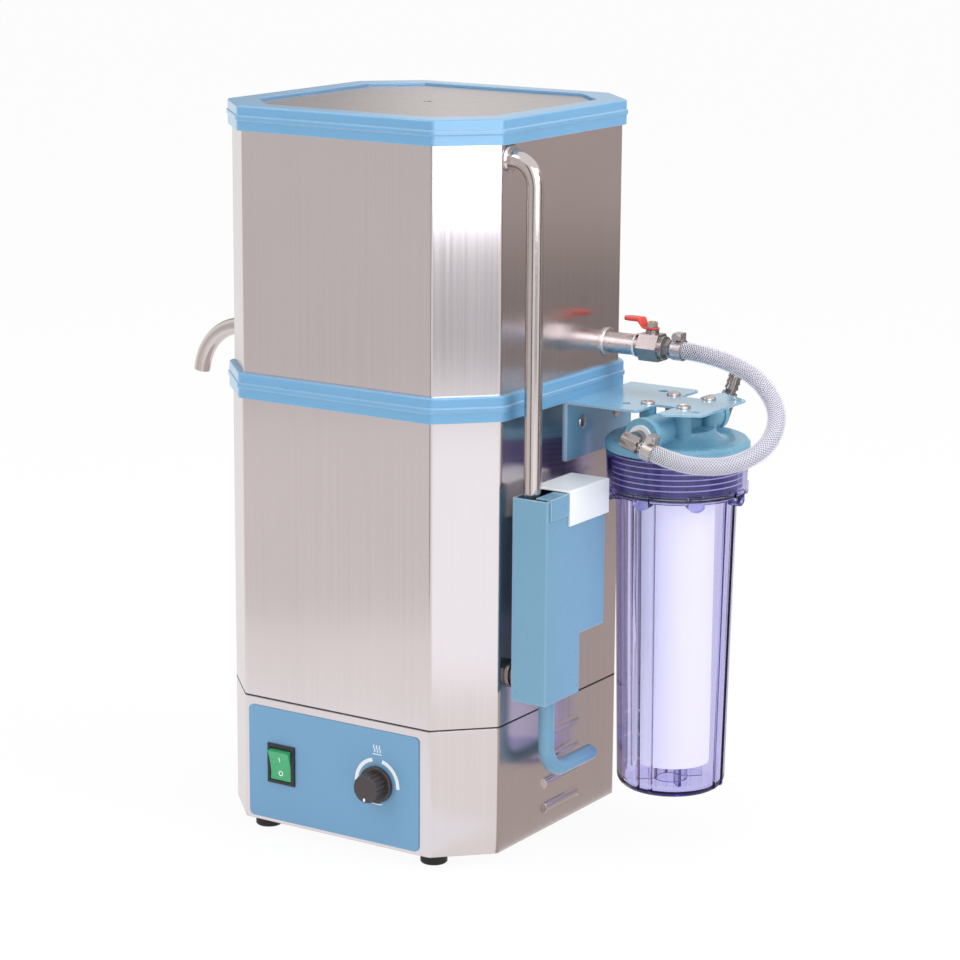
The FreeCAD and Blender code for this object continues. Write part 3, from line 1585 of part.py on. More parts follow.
def sump_inner():
    """Hollow of the sump: threaded bore, O-ring groove and tapered well."""
    bore = thread_skirt_radius + slip_gap
    top_well = sump_top_radius - sump_wall
    foot_well = sump_foot_radius - sump_wall
    floor = sump_bottom + sump_floor
    groove_out = top_well + seat_groove_width
    groove_low = sump_seat_z - seat_groove_depth
    body = turned([
        (0, floor),
        (foot_well, floor),
        (top_well, groove_low),
        (groove_out, groove_low),
        (groove_out, sump_seat_z),
        (bore, sump_seat_z),
        (bore, collar_top + overrun),
        (0, collar_top + overrun),
    ])
    return body.makeFillet(sump_floor_round - sump_wall, edges_at(body, floor))


def sump_lug(number):
    """One wrench lug: a rounded tab that hangs under the collar."""
    half = lug_width / 2
    low = collar_bottom - lug_hang
    top = low + lug_height
    x0 = sump_top_radius - sump_wall / 2
    left_top = V(x0, -half, top)
    left_low = V(x0, -half, low + half / 2)
    bottom = V(x0, 0, low)
    right_low = V(x0, half, low + half / 2)
    right_top = V(x0, half, top)
    outline = Part.Wire([
        Part.LineSegment(left_top, left_low).toShape(),
        Part.Arc(left_low, bottom, right_low).toShape(),
        Part.LineSegment(right_low, right_top).toShape(),
        Part.LineSegment(right_top, left_top).toShape(),
    ])
    tab = Part.Face(outline).extrude(V(lug_radius, 0, 0))
    tab = tab.common(Part.makeCylinder(lug_radius, lug_height, V(0, 0, low)))
    tab.rotate(V(0, 0, 0), Z_AXIS, 360 * number / lug_count)
    return tab


def sump_rib(degrees):
    """One slim upright rib on the sump's side, ending in a rounded foot."""
    low = sump_bottom + rib_foot_lift
    share = rib_foot_lift / (collar_bottom - sump_bottom)
    low_radius = sump_foot_radius + (sump_top_radius - sump_foot_radius) * share - rib_sink
    start = V(low_radius, 0, low)
    end = V(sump_top_radius - rib_sink, 0, collar_bottom)
    rib = rod(rib_radius, start, end).fuse(Part.makeSphere(rib_radius, start))
    rib.rotate(V(0, 0, 0), Z_AXIS, degrees)
    return rib


def sump_seat():
    """Fins and hollow spigot in the sump's foot that centre the cartridge."""
    floor = sump_bottom + sump_floor / 2
    spigot_top = seat_fin_top + seat_spigot_rise
    seat = Part.makeCylinder(seat_spigot_radius, spigot_top - floor, V(0, 0, floor))
    for number in range(seat_fin_count):
        fin = box(0, seat_fin_reach, -seat_fin_thickness / 2, seat_fin_thickness / 2, floor,
                  seat_fin_top)
        fin.rotate(V(0, 0, 0), Z_AXIS, 360 * (number + 0.5) / seat_fin_count)
        seat = seat.fuse(fin)
    hollow = seat_spigot_radius - seat_spigot_wall
    return seat.cut(Part.makeCylinder(hollow, spigot_top - floor, V(0, 0, sump_bottom + sump_floor)))


def filter_sump():
    """Clear violet sump: collar with eight lugs, four pairs of ribs and a seat for the cartridge."""
    body = sump_outer()
    for number in range(lug_count):
        body = body.fuse(sump_lug(number))
    for number in range(rib_pair_count):
        for side in (-1, 1):
            body = body.fuse(sump_rib(360 * number / rib_pair_count + side * rib_half_angle_degrees))
    body = body.cut(sump_inner()).fuse(sump_seat())
    return placed(body, V(filter_x, filter_y, 0), Z_AXIS)


def o_ring():
    """Rubber ring in the sump's groove, just under the head's skirt."""
    ring_radius = sump_top_radius - sump_wall + seat_groove_width / 2
    level = sump_seat_z - seat_groove_depth + o_ring_section_radius + plate_gap
    return Part.makeTorus(ring_radius, o_ring_section_radius, V(filter_x, filter_y, level))


def filter_cartridge():
    """White wound cartridge with its through bore."""
    return pipe(cartridge_radius, cartridge_bore_radius, V(filter_x, filter_y, cartridge_bottom),
                V(filter_x, filter_y, cartridge_top))


PARTS = {
    "base_shell": base_shell,
    "base_plate": base_plate,
    "feet": feet,
    "base_deck": base_deck,
    "front_panel": front_panel,
    "switch_housing": switch_housing,
    "switch_terminals": switch_terminals,
    "rocker": rocker,
    "heat_regulator": heat_regulator,
    "regulator_nut": regulator_nut,
    "control_shaft": control_shaft,
    "control_knob": control_knob,
    "terminal_block": terminal_block,
    "cable_gland": cable_gland,
    "gland_nut": gland_nut,
    "boiler_casing": boiler_casing,
    "boiler_tank": boiler_tank,
    "heating_element": heating_element,
    "heater_nuts": heater_nuts,
    "dry_cutout": dry_cutout,
    "boiler_union": boiler_union,
    "union_nuts": union_nuts,
    "mid_ring": mid_ring,
    "vessel_gasket": vessel_gasket,
    "upper_vessel": upper_vessel,
    "condenser_dome": condenser_dome,
    "distillate_gutter": distillate_gutter,
    "distillate_spout": distillate_spout,
    "pipe_welds": pipe_welds,
    "overflow_pipe": overflow_pipe,
    "top_ring": top_ring,
    "top_lid": top_lid,
    "level_box": level_box,
    "box_clip": box_clip,
    "level_box_cover": level_box_cover,
    "standpipe": standpipe,
    "drain_elbow": drain_elbow,
    "inlet_nipple": inlet_nipple,
    "seal_ring": seal_ring,
    "valve_body": valve_body,
    "valve_ball": valve_ball,
    "valve_stem": valve_stem,
    "valve_lever": valve_lever,
    "lever_nut": lever_nut,
    "hose_tail": hose_tail,
    "hose_clamps": hose_clamps,
    "water_hose": water_hose,
    "filter_bracket": filter_bracket,
    "bracket_screws": bracket_screws,
    "filter_head": filter_head,
    "port_bushes": port_bushes,
    "outlet_elbow": lambda: hose_elbow(-1, outlet_elbow_degrees),
    "inlet_elbow": lambda: hose_elbow(1, inlet_elbow_degrees),
    "o_ring": o_ring,
    "filter_sump": filter_sump,
    "filter_cartridge": filter_cartridge,
}

for name, make in PARTS.items():
    shape = make()
    shape.exportStep("parts/" + name + ".step")
    print(name, "solids", len(shape.Solids), "valid", shape.isValid(), "volume", round(shape.Volume))
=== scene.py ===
# %% [markdown]
# # A bench water still, dressed for its photograph
# The metal and plastic parts of the still come ready made from its CAD model.  This lesson gives
# them their finishes, adds the pieces that are too fine for the CAD model, and lights the still.
# Every piece is placed in metres in the CAD model's own frame: Z is up and the front faces -Y.

# %% Load the still
import math

import bmesh
import bpy
import numpy as np
from mathutils import Matrix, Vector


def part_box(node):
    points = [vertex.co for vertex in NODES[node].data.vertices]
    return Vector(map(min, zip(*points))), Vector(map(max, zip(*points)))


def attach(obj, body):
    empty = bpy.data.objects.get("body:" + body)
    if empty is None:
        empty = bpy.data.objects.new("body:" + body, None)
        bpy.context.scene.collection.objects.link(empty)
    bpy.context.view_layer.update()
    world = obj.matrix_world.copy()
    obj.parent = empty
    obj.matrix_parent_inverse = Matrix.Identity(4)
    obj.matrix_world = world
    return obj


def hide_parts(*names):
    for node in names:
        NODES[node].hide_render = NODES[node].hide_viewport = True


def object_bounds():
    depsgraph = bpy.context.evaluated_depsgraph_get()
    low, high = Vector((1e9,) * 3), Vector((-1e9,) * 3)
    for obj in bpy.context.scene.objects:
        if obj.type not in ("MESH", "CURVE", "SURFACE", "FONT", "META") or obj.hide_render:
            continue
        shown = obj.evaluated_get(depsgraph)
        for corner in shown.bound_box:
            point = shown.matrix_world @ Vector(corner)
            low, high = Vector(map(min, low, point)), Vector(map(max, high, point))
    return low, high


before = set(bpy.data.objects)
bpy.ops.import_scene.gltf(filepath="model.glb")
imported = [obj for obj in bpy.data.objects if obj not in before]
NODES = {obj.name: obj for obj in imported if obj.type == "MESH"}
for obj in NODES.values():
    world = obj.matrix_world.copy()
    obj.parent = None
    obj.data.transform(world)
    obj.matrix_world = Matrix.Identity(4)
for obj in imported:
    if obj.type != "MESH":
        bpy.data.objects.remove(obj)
CAD_BOX = [list(corner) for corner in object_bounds()]
MM = 0.001
TAU = 2 * math.pi
print("CAD nodes", len(NODES), "box", CAD_BOX)

# %% [markdown]
# ## The camera
# The photograph is taken from the front right, a little above the still, with a long lens.  The
# camera's three directions are worked out from its turn round the still, its height angle and a
# slight tilt, and they are the columns of its matrix.

# %% Camera
TURN, HEIGHT, TILT = (math.radians(angle) for angle in (32.853, 12.942, 0.402))
CAMERA_AT = (1.2976, -1.9314, 0.7959)
LENS_MM = 112.86
SENSOR_MM = 36.0
NEAREST, FARTHEST = 0.1, 60.0

back = np.array([math.sin(TURN) * math.cos(HEIGHT), -math.cos(TURN) * math.cos(HEIGHT),
                 math.sin(HEIGHT)])
level = np.array([math.cos(TURN), math.sin(TURN), 0.0])
upright = np.cross(back, level)
right = math.cos(TILT) * level + math.sin(TILT) * upright
up = math.cos(TILT) * upright - math.sin(TILT) * level

camera_data = bpy.data.cameras.new("camera")
camera_data.sensor_width = SENSOR_MM
camera_data.lens = LENS_MM
camera_data.clip_start, camera_data.clip_end = NEAREST, FARTHEST
camera = bpy.data.objects.new("camera", camera_data)
bpy.context.scene.collection.objects.link(camera)
turned = np.eye(4)
turned[:3, 0], turned[:3, 1], turned[:3, 2], turned[:3, 3] = right, up, back, CAMERA_AT
camera.matrix_world = Matrix(turned.tolist())
bpy.context.scene.camera = camera
print("camera at", CAMERA_AT)

# %% [markdown]
# ## Tools for surfaces
# A piece is a function of two parameters, worked out on a whole grid of points at once.  The grid
# becomes a mesh of four-sided faces.  A grid may close on itself in either direction, and an open
# end is closed by a flat cap, so every piece is a closed solid.

# %% Meshes from grids
MERGE_DISTANCE = 1e-7


def finished_mesh(name, points, faces, smooth_degrees=40.0):
    """Mesh object from arrays of points and faces: doubles merged, faces turned outwards, and
    shaded smooth except where two faces meet at more than smooth_degrees."""
    mesh = bpy.data.meshes.new(name)
    mesh.from_pydata(np.asarray(points).reshape(-1, 3).tolist(), [], faces)
    shape = bmesh.new()
    shape.from_mesh(mesh)
    bmesh.ops.remove_doubles(shape, verts=shape.verts, dist=MERGE_DISTANCE)
    bmesh.ops.recalc_face_normals(shape, faces=shape.faces)
    shape.to_mesh(mesh)
    shape.free()
    mesh.polygons.foreach_set("use_smooth", [True] * len(mesh.polygons))
    mesh.set_sharp_from_angle(angle=math.radians(smooth_degrees))
    piece = bpy.data.objects.new(name, mesh)
    bpy.context.scene.collection.objects.link(piece)
    return piece


def grid_faces(rows, columns, wrap_rows=False, first=0):
    """Four-sided faces of rows of points that each close on themselves, numbered from first."""
    row = np.arange(rows if wrap_rows else rows - 1)[:, None]
    column = np.arange(columns)[None, :]
    after = (row + 1) % rows * columns
    beside = (column + 1) % columns
    row = row * columns
    quads = np.stack([row + column, row + beside, after + beside, after + column], -1)
    return (quads.reshape(-1, 4) + first).tolist()


print("points closer than", MERGE_DISTANCE, "m become one")

# %% [markdown]
# Two kinds of closed solid are enough here: a tube with a cap at either end, and a hoop that has no
# end.  Both could be bent from Blender's own primitives, but from a grid their size is exact.

# %% Tubes and hoops
def capped_tubes(name, tubes, smooth_degrees=40.0):
    """Closed solids from an array (tube, ring, point, xyz): a skin between the rings of each tube
    and a flat cap on its first and last ring."""
    faces = []
    rings, columns = tubes.shape[1:3]
    for number in range(len(tubes)):
        first = number * rings * columns
        last = first + (rings - 1) * columns
        faces += grid_faces(rings, columns, first=first)
        faces += [list(range(first, first + columns)), list(range(last, last + columns))]
    return finished_mesh(name, tubes, faces, smooth_degrees)


def ring_solid(name, sections, smooth_degrees=40.0):
    """Closed hoop from an array (station, point, xyz): the cross-section at each station round the
    hoop, and the last station joins the first."""
    faces = grid_faces(*sections.shape[:2], wrap_rows=True)
    return finished_mesh(name, sections, faces, smooth_degrees)


print("tubes of 4 rings by 6 points have", len(grid_faces(4, 6)), "faces in their skin")

# %% [markdown]
# ## Tools for finishes
# Every finish starts from a Principled shader, which covers metal, paint and plastic with one set of
# names.  Colours are written as a screen shows them and are turned to linear light once, here.

# %% Colours and nodes
def linear(hex_colour):
    """Linear colour with alpha from an sRGB hex value: a power curve with a straight foot."""
    parts = [int(hex_colour[k:k + 2], 16) / 255 for k in (1, 3, 5)]
    return [c / 12.92 if c <= 0.04045 else ((c + 0.055) / 1.055) ** 2.4 for c in parts] + [1.0]


def add_node(tree, kind, inputs=None, **settings):
    """Add one node.  settings are its own properties.  inputs gives a socket a value, or a link
    where the value is another node's socket."""
    node = tree.nodes.new(kind)
    for name, value in settings.items():
        setattr(node, name, value)
    for socket, value in (inputs or {}).items():
        if isinstance(value, bpy.types.NodeSocket):
            tree.links.new(value, node.inputs[socket])
        else:
            node.inputs[socket].default_value = value
    return node


def new_finish(name, colour, roughness, metallic=0.0, **sockets):
    """Material with a Principled shader.  Other sockets are named with _ for a space."""
    finish = bpy.data.materials.new(name)
    finish.use_nodes = True
    shader = finish.node_tree.nodes["Principled BSDF"]
    shader.inputs["Base Color"].default_value = linear(colour)
    shader.inputs["Roughness"].default_value = roughness
    shader.inputs["Metallic"].default_value = metallic
    for socket, value in sockets.items():
        shader.inputs[socket.replace("_", " ")].default_value = value
    finish.diffuse_color = linear(colour)
    return finish


print("mid grey is", round(linear("#808080")[0], 3), "in linear light")

# %% [markdown]
# No real surface is even.  One function gives each finish its grain, and a pattern could come from a
# picture, but noise needs none and has no edge to repeat.  It reads Object coordinates, which are
# metres here, so a Mapping node scaled by one over a real size makes a pattern of that size.

# %% Grain
NOISE_LOW, NOISE_HIGH = 0.3, 0.7


def spread(tree, factor, low, high):
    """Number that goes from low to high as a noise goes through its usual range."""
    return add_node(tree, "ShaderNodeMapRange", {"Value": factor, "From Min": NOISE_LOW,
                    "From Max": NOISE_HIGH, "To Min": low, "To Max": high}).outputs[0]


SMOOTHEST = 0.02
EDGE_STARTS, EDGE_FULL = 0.995, 0.93


def give_grain(finish, grain_mm, depth_mm, tone, rough_spread, cloud_mm=70.0, edge_mm=0.0,
               edge_highlight=0.0):
    """Grain of a real size along X, Y and Z.  Fine noise raises the surface by depth_mm and moves
    the roughness by rough_spread.  The fine noise and broad clouds move the colour by the share
    tone.  Edges are rounded in the shading by edge_mm, as a folded or moulded edge is.  Where a
    share is given, edges are also mixed towards white by it, a painted highlight where the paint
    also pulls thin: an edge is where the rounded and the flat direction differ, so that their dot
    product falls."""
    tree = finish.node_tree
    shader = tree.nodes["Principled BSDF"]
    place = add_node(tree, "ShaderNodeTexCoord").outputs["Object"]
    scale = [1 / (size * MM) for size in grain_mm]
    placed = add_node(tree, "ShaderNodeMapping", {"Vector": place, "Scale": scale}).outputs[0]
    fine = add_node(tree, "ShaderNodeTexNoise", {"Vector": placed, "Scale": 1.0,
                    "Detail": 3.0}).outputs[0]
    clouds = add_node(tree, "ShaderNodeTexNoise", {"Vector": place, "Scale": 1 / (cloud_mm * MM),
                      "Detail": 2.0}).outputs[0]
    both = add_node(tree, "ShaderNodeMath", {0: fine, 1: clouds}, operation="ADD").outputs[0]
    half = add_node(tree, "ShaderNodeMath", {0: both, 1: 0.5}, operation="MULTIPLY").outputs[0]
    colour = np.array(shader.inputs["Base Color"].default_value[:3])
    dark, light = (((colour * (1 + side * tone)).clip(0, 1).tolist() + [1.0]) for side in (-1, 1))
    tint = add_node(tree, "ShaderNodeMix", {0: spread(tree, half, 0.0, 1.0), 6: dark, 7: light},
                    data_type="RGBA").outputs[2]
    # Painted highlight: edges are mixed towards white.
    if edge_highlight:
        rounded = add_node(tree, "ShaderNodeBevel", {"Radius": edge_mm * MM}, samples=4).outputs[0]
        flat = add_node(tree, "ShaderNodeNewGeometry").outputs["Normal"]
        alike = add_node(tree, "ShaderNodeVectorMath", {0: rounded, 1: flat},
                         operation="DOT_PRODUCT").outputs["Value"]
        edge_highlight_share = add_node(tree, "ShaderNodeMapRange", {"Value": alike, "From Min": EDGE_STARTS,
                           "From Max": EDGE_FULL, "To Max": edge_highlight}).outputs[0]
        tint = add_node(tree, "ShaderNodeMix", {0: edge_highlight_share, 6: tint, 7: linear("#FFFFFF")},
                        data_type="RGBA").outputs[2]
    tree.links.new(tint, shader.inputs["Base Color"])
    rough = shader.inputs["Roughness"].default_value
    rough = spread(tree, fine, max(rough - rough_spread, SMOOTHEST), rough + rough_spread)
    tree.links.new(rough, shader.inputs["Roughness"])
    bump = {"Height": fine, "Distance": depth_mm * MM, "Strength": 1.0}
    if edge_mm:
        bump["Normal"] = add_node(tree, "ShaderNodeBevel", {"Radius": edge_mm * MM},
                                  samples=4).outputs[0]
    tree.links.new(add_node(tree, "ShaderNodeBump", bump).outputs[0], shader.inputs["Normal"])
    return finish


print("edges pale where the dot product falls from", EDGE_STARTS, "to", EDGE_FULL)

# %% [markdown]
# ## Stainless steel
# The casing is 304 stainless sheet, brushed up and down with a belt.  The brush leaves fine upright
# scratches, a fraction of a millimetre apart, that smear reflections sideways.  They are drawn
# coarser than life, two millimetres apart, so that they show from where the camera stands.  Steel
# is a metal, so its colour is the colour of its reflection: a warm light grey.  The smear could come
# from the scratches alone, but they would need to be far finer, so the shader's own anisotropy does
# it.  The lid is brushed along X, the pipes are polished, and the inside is plain rolled sheet.

# %% Steel finishes
FINISH = {}
FINISH["brushed_steel"] = give_grain(
    new_finish("brushed_304_stainless", "#D8CECE", 0.2, 1.0, Anisotropic=0.6),
    grain_mm=(2.0, 2.0, 260), depth_mm=0.003, tone=0.035, rough_spread=0.03, cloud_mm=140, edge_mm=0.8)
FINISH["lid_steel"] = give_grain(
    new_finish("lid_brushed_304_stainless", "#D2C8C6", 0.26, 1.0),
    grain_mm=(160, 1.6, 1.6), depth_mm=0.003, tone=0.03, rough_spread=0.03, cloud_mm=140, edge_mm=0.6)
FINISH["plain_steel"] = give_grain(
    new_finish("rolled_304_stainless", "#CEC6C4", 0.3, 1.0),
    grain_mm=(3, 3, 3), depth_mm=0.01, tone=0.05, rough_spread=0.06, edge_mm=0.3)
FINISH["polished_steel"] = give_grain(
    new_finish("polished_304_tube", "#CDC3C0", 0.14, 1.0),
    grain_mm=(3, 3, 3), depth_mm=0.003, tone=0.03, rough_spread=0.03, edge_mm=0.3)
print("steel finishes", list(FINISH))

# %% [markdown]
# ## Paint and powder coat
# The rings, the level box and the drain are sheet metal with a blue stoved paint.  Such paint has a
# faint orange peel, drawn here as bumps of two or three millimetres, and a soft gloss.  The box and
# the drain are given a greyer, darker blue than the rings: painted shade, for the shadow that they
# stand in.  The edges of the rings, the box and the bracket are paler, a painted highlight.  The
# front panel is printed film, the bracket has a glossy powder coat, and the valve's lever is dipped
# in vinyl.

# %% Painted finishes
FINISH["blue_paint"] = give_grain(
    new_finish("blue_stoved_enamel", "#6DA9D4", 0.34, Coat_Weight=0.7, Coat_Roughness=0.08),
    grain_mm=(2.5, 2.5, 2.5), depth_mm=0.006, tone=0.02, rough_spread=0.05, edge_mm=0.9, edge_highlight=0.4)
# Darker, greyer enamel than the rings': painted shade on the level box, its clip and the drain.
FINISH["box_paint_with_painted_shade"] = give_grain(
    new_finish("level_box_enamel_with_painted_shade", "#6C9FBD", 0.32, Coat_Weight=0.7, Coat_Roughness=0.1),
    grain_mm=(2.5, 2.5, 2.5), depth_mm=0.006, tone=0.03, rough_spread=0.05, edge_mm=1.0, edge_highlight=0.6)
FINISH["panel_paint"] = give_grain(
    new_finish("blue_printed_polyester", "#6FA1C6", 0.42),
    grain_mm=(1.5, 1.5, 1.5), depth_mm=0.004, tone=0.015, rough_spread=0.04, edge_mm=0.3)
FINISH["bracket_paint"] = give_grain(
    new_finish("teal_powder_coat", "#88BEDA", 0.22, Coat_Weight=1.0, Coat_Roughness=0.08, Coat_IOR=1.7),
    grain_mm=(3, 3, 3), depth_mm=0.005, tone=0.02, rough_spread=0.04, edge_mm=0.7, edge_highlight=0.5)
FINISH["red_lever_coat"] = give_grain(
    new_finish("red_dipped_vinyl", "#DE4337", 0.33),
    grain_mm=(2, 2, 2), depth_mm=0.02, tone=0.05, rough_spread=0.05, edge_mm=0.5)
print("painted finishes done")

# %% [markdown]
# ## Moulded plastics and rubber
# The filter head is moulded polypropylene, slightly waxy.  The switch, knob and gland are nylon or
# phenolic.  Each has the fine spark grain of its mould.  The cartridge is blown white fibre.  In the
# real filter it also gets light that bounces round inside the housing.  The clear finish further on
# lets light straight through instead, so a weak painted glow of the fibre stands for what that leaves
# out.

# %% Plastic and rubber finishes
FINISH["head_plastic"] = give_grain(
    new_finish("teal_moulded_polypropylene", "#73A9C3", 0.24),
    grain_mm=(6, 6, 6), depth_mm=0.01, tone=0.03, rough_spread=0.04, edge_mm=0.8)
FINISH["black_plastic"] = give_grain(
    new_finish("black_moulded_nylon", "#1E1B1C", 0.42),
    grain_mm=(0.6, 0.6, 0.6), depth_mm=0.01, tone=0.12, rough_spread=0.08, edge_mm=0.25)
FINISH["knob_plastic"] = give_grain(
    new_finish("brown_black_phenolic", "#3E3636", 0.34),
    grain_mm=(0.6, 0.6, 0.6), depth_mm=0.01, tone=0.12, rough_spread=0.08, edge_mm=0.25)
FINISH["green_plastic"] = give_grain(
    new_finish("green_lit_polycarbonate", "#43B176", 0.16, Subsurface_Weight=0.3,
               Subsurface_Scale=3 * MM),
    grain_mm=(3, 3, 3), depth_mm=0.01, tone=0.06, rough_spread=0.04, edge_mm=0.3)
FINISH["cream_plastic"] = give_grain(
    new_finish("cream_steatite", "#DBD6C7", 0.5),
    grain_mm=(0.8, 0.8, 0.8), depth_mm=0.02, tone=0.04, rough_spread=0.08)
FINISH["white_plastic"] = give_grain(
    new_finish("white_moulded_abs", "#F3F7FB", 0.16),
    grain_mm=(2, 2, 2), depth_mm=0.006, tone=0.015, rough_spread=0.04, edge_mm=0.4)
FINISH["black_rubber"] = give_grain(
    new_finish("black_nitrile_rubber", "#161515", 0.62),
    grain_mm=(0.9, 0.9, 0.9), depth_mm=0.03, tone=0.15, rough_spread=0.1)
FINISH["gasket_rubber"] = give_grain(
    new_finish("grey_silicone_rubber", "#BFBEB8", 0.55),
    grain_mm=(1.2, 1.2, 1.2), depth_mm=0.02, tone=0.05, rough_spread=0.08)
# Painted light: the fibre glows weakly white.
FINISH["wound_fibre"] = give_grain(
    new_finish("blown_polypropylene_fibre_painted_glow", "#FFFFFF", 0.75, Sheen_Weight=0.2,
               Emission_Color=linear("#FFFFFF"), Emission_Strength=0.3),
    grain_mm=(1.5, 1.5, 0.7), depth_mm=0.15, tone=0.02, rough_spread=0.1)
print("plastic finishes done")

# %% [markdown]
# ## Brass and nickel
# The valve and the hose fittings are turned brass with a thin nickel plate, which leaves a slightly
# pink silver.  The switch's blades, the knob's shaft and the valve's stem are bare brass.

# %% Brass finishes
FINISH["nickel_brass"] = give_grain(
    new_finish("nickel_plated_brass", "#A69E9C", 0.2, 1.0),
    grain_mm=(2.5, 2.5, 2.5), depth_mm=0.004, tone=0.04, rough_spread=0.05, edge_mm=0.4)
FINISH["brass"] = give_grain(
    new_finish("turned_brass", "#C9A563", 0.3, 1.0),
    grain_mm=(0.8, 0.8, 0.8), depth_mm=0.01, tone=0.07, rough_spread=0.06)
print("brass finishes done")

# %% [markdown]
# ## The clear violet sump
# The sump is moulded from clear styrene copolymer with a violet dye.  The dye works through the
# depth of the plastic, so a wall seen face on is nearly clear, and a wall seen along its length is
# deep violet.  An absorbing volume inside a clear shell does just that.

# %% Clear finishes
def clear_finish(name, ior, roughness, dye, density):
    """Clear solid whose inside absorbs the colours that dye lacks, more with each metre of depth by
    the density.  Shadow rays and diffuse rays, which light what stands inside, go straight through
    the surface, because a path tracer seldom finds a lamp along a bent ray."""
    finish = new_finish(name, "#FFFFFF", roughness, IOR=ior, Transmission_Weight=1.0)
    tree = finish.node_tree
    output = tree.nodes["Material Output"]
    path = add_node(tree, "ShaderNodeLightPath")
    lighting = add_node(tree, "ShaderNodeMath", {0: path.outputs["Is Shadow Ray"],
                        1: path.outputs["Is Diffuse Ray"]}, operation="MAXIMUM").outputs[0]
    straight = add_node(tree, "ShaderNodeBsdfTransparent").outputs[0]
    surface = add_node(tree, "ShaderNodeMixShader", {0: lighting,
                       1: tree.nodes["Principled BSDF"].outputs[0], 2: straight}).outputs[0]
    tree.links.new(surface, output.inputs["Surface"])
    volume = add_node(tree, "ShaderNodeVolumeAbsorption", {"Color": linear(dye), "Density": density})
    tree.links.new(volume.outputs[0], output.inputs["Volume"])
    return finish


FINISH["clear_violet"] = clear_finish("violet_styrene_copolymer", 1.42, 0.02, "#7A66E4", 70.0)
print("clear finishes done")

# %% [markdown]
# ## Give the CAD parts their finishes
# Each CAD part carries the name of its material slot, so one loop dresses them all.  A few parts
# have a finish of their own: the lid, the level box with its clip and drain, which carry painted
# shade, and the plain hose, which the braided one further on takes the place of.

# %% Dress the CAD parts
OWN_FINISH = {"top_lid": "lid_steel", "level_box": "box_paint_with_painted_shade", "box_clip": "box_paint_with_painted_shade",
              "drain_elbow": "box_paint_with_painted_shade", "water_hose": "white_plastic"}
for name, node in NODES.items():
    finish_name = OWN_FINISH.get(name) or node.data.materials[0].name
    node.data.materials.clear()
    node.data.materials.append(FINISH[finish_name])
print("dressed", len(NODES), "parts")

# %% [markdown]
# Every new piece goes through one function, so that none is left without its finish, the body that
# it moves with, or the name of its material slot.

# %% Settle a new piece
def settle(piece, finish, body):
    """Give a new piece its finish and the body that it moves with."""
    piece.data.materials.clear()
    piece.data.materials.append(finish)
    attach(piece, body)
    return piece


print("finishes to choose from:", len(FINISH))

# %% [markdown]
# ## The braided hose
# The hose is clear PVC with two layers of white yarn laid in crossing spirals.  Its line is one
# smooth spline from the valve's tail, out and down in a wide curve, to the elbow at the front of
# the filter.  The photograph shows it from end to end, so its length there is its length.  A curve
# with a round bevel is used, and not a mesh, because a few points then steer the whole tube.

# %% Hose
HOSE_POINTS = np.array([
    (181.8, 67.3, 375.6), (206.4, 67.3, 375.6), (239.9, 60.5, 371.4), (270.0, 50.4, 362.3),
    (295.0, 32.2, 343.6), (298.9, 7.7, 322.8), (282.0, -13.9, 310.9), (256.2, -25.2, 308.7),
    (228.03, -22.0, 310.84), (208.457, -22.0, 316.932)]) * MM
HOSE_RADIUS = 7.35 * MM
SPLINE_ORDER, SPLINE_STEPS = 3, 24
RIM_STEPS = 8


def spline_through(name, points):
    """Curve object of one open NURBS spline with these control points."""
    curve = bpy.data.curves.new(name, "CURVE")
    curve.dimensions = "3D"
    spline = curve.splines.new("NURBS")
    spline.points.add(len(points) - 1)
    spline.points.foreach_set("co", np.c_[points, np.ones(len(points))].ravel())
    spline.order_u = SPLINE_ORDER
    spline.use_endpoint_u = True
    spline.resolution_u = SPLINE_STEPS
    line = bpy.data.objects.new(name, curve)
    bpy.context.scene.collection.objects.link(line)
    return line


hose = spline_through("clear_hose", HOSE_POINTS)
line_mesh = bpy.data.meshes.new_from_object(hose)
hose_line = np.empty(len(line_mesh.vertices) * 3)
line_mesh.vertices.foreach_get("co", hose_line)
hose_line = hose_line.reshape(-1, 3)
bpy.data.meshes.remove(line_mesh)
hose.data.bevel_depth = HOSE_RADIUS
hose.data.bevel_resolution = RIM_STEPS
hose.data.use_fill_caps = True
print("hose line of", len(hose_line), "points")

# %% [markdown]
# What lies in the hose follows the hose's own line.  At every station along it two directions
# square to the line span a circle.  The hose bends nearly in one plane, so that plane's normal
# serves as the first of them all along, and the circles never twist.

# %% Stations along the hose
HOSE_PLANE_NORMAL = np.array([0.0, 0.6, -0.8])


def stations_along(line, step, trim):
    """Even stations along a line that is trimmed at both ends: their points, their lengths from the
    start, and two directions square to the line there.  The first of these is the hose plane's
    normal, less its share along the line."""
    lengths = np.r_[0, np.cumsum(np.linalg.norm(np.diff(line, axis=0), axis=1))]
    at = np.linspace(trim, lengths[-1] - trim, int(lengths[-1] / step))
    points = np.stack([np.interp(at, lengths, line[:, k]) for k in range(3)], -1)
    along = np.gradient(points, axis=0)
    along /= np.linalg.norm(along, axis=1, keepdims=True)
    side = HOSE_PLANE_NORMAL - along * (along @ HOSE_PLANE_NORMAL)[:, None]
    side /= np.linalg.norm(side, axis=1, keepdims=True)
    return points, at, side, np.cross(along, side)


print("stations 10 mm apart:", len(stations_along(hose_line, 10 * MM, 0)[1]))

# %% [markdown]
# A yarn goes round the circle steadily as it goes along.  Half the yarns go round one way and half
# the other.  A picture of a braid on the tube would slide at the bends, and real yarns cast their
# own small shadows, so each yarn is a thin flat tube of its own.

# %% Yarn in the hose
YARN_COUNT = 14
YARN_PITCH = 30 * MM
YARN_LAY_RADIUS = 6.35 * MM
YARN_HALF_WIDTH = 0.27 * MM
YARN_HALF_THICKNESS = 0.2 * MM
YARN_STEP = 1.25 * MM
YARN_TRIM = 1.0 * MM
YARN_SMOOTH_DEGREES = 80


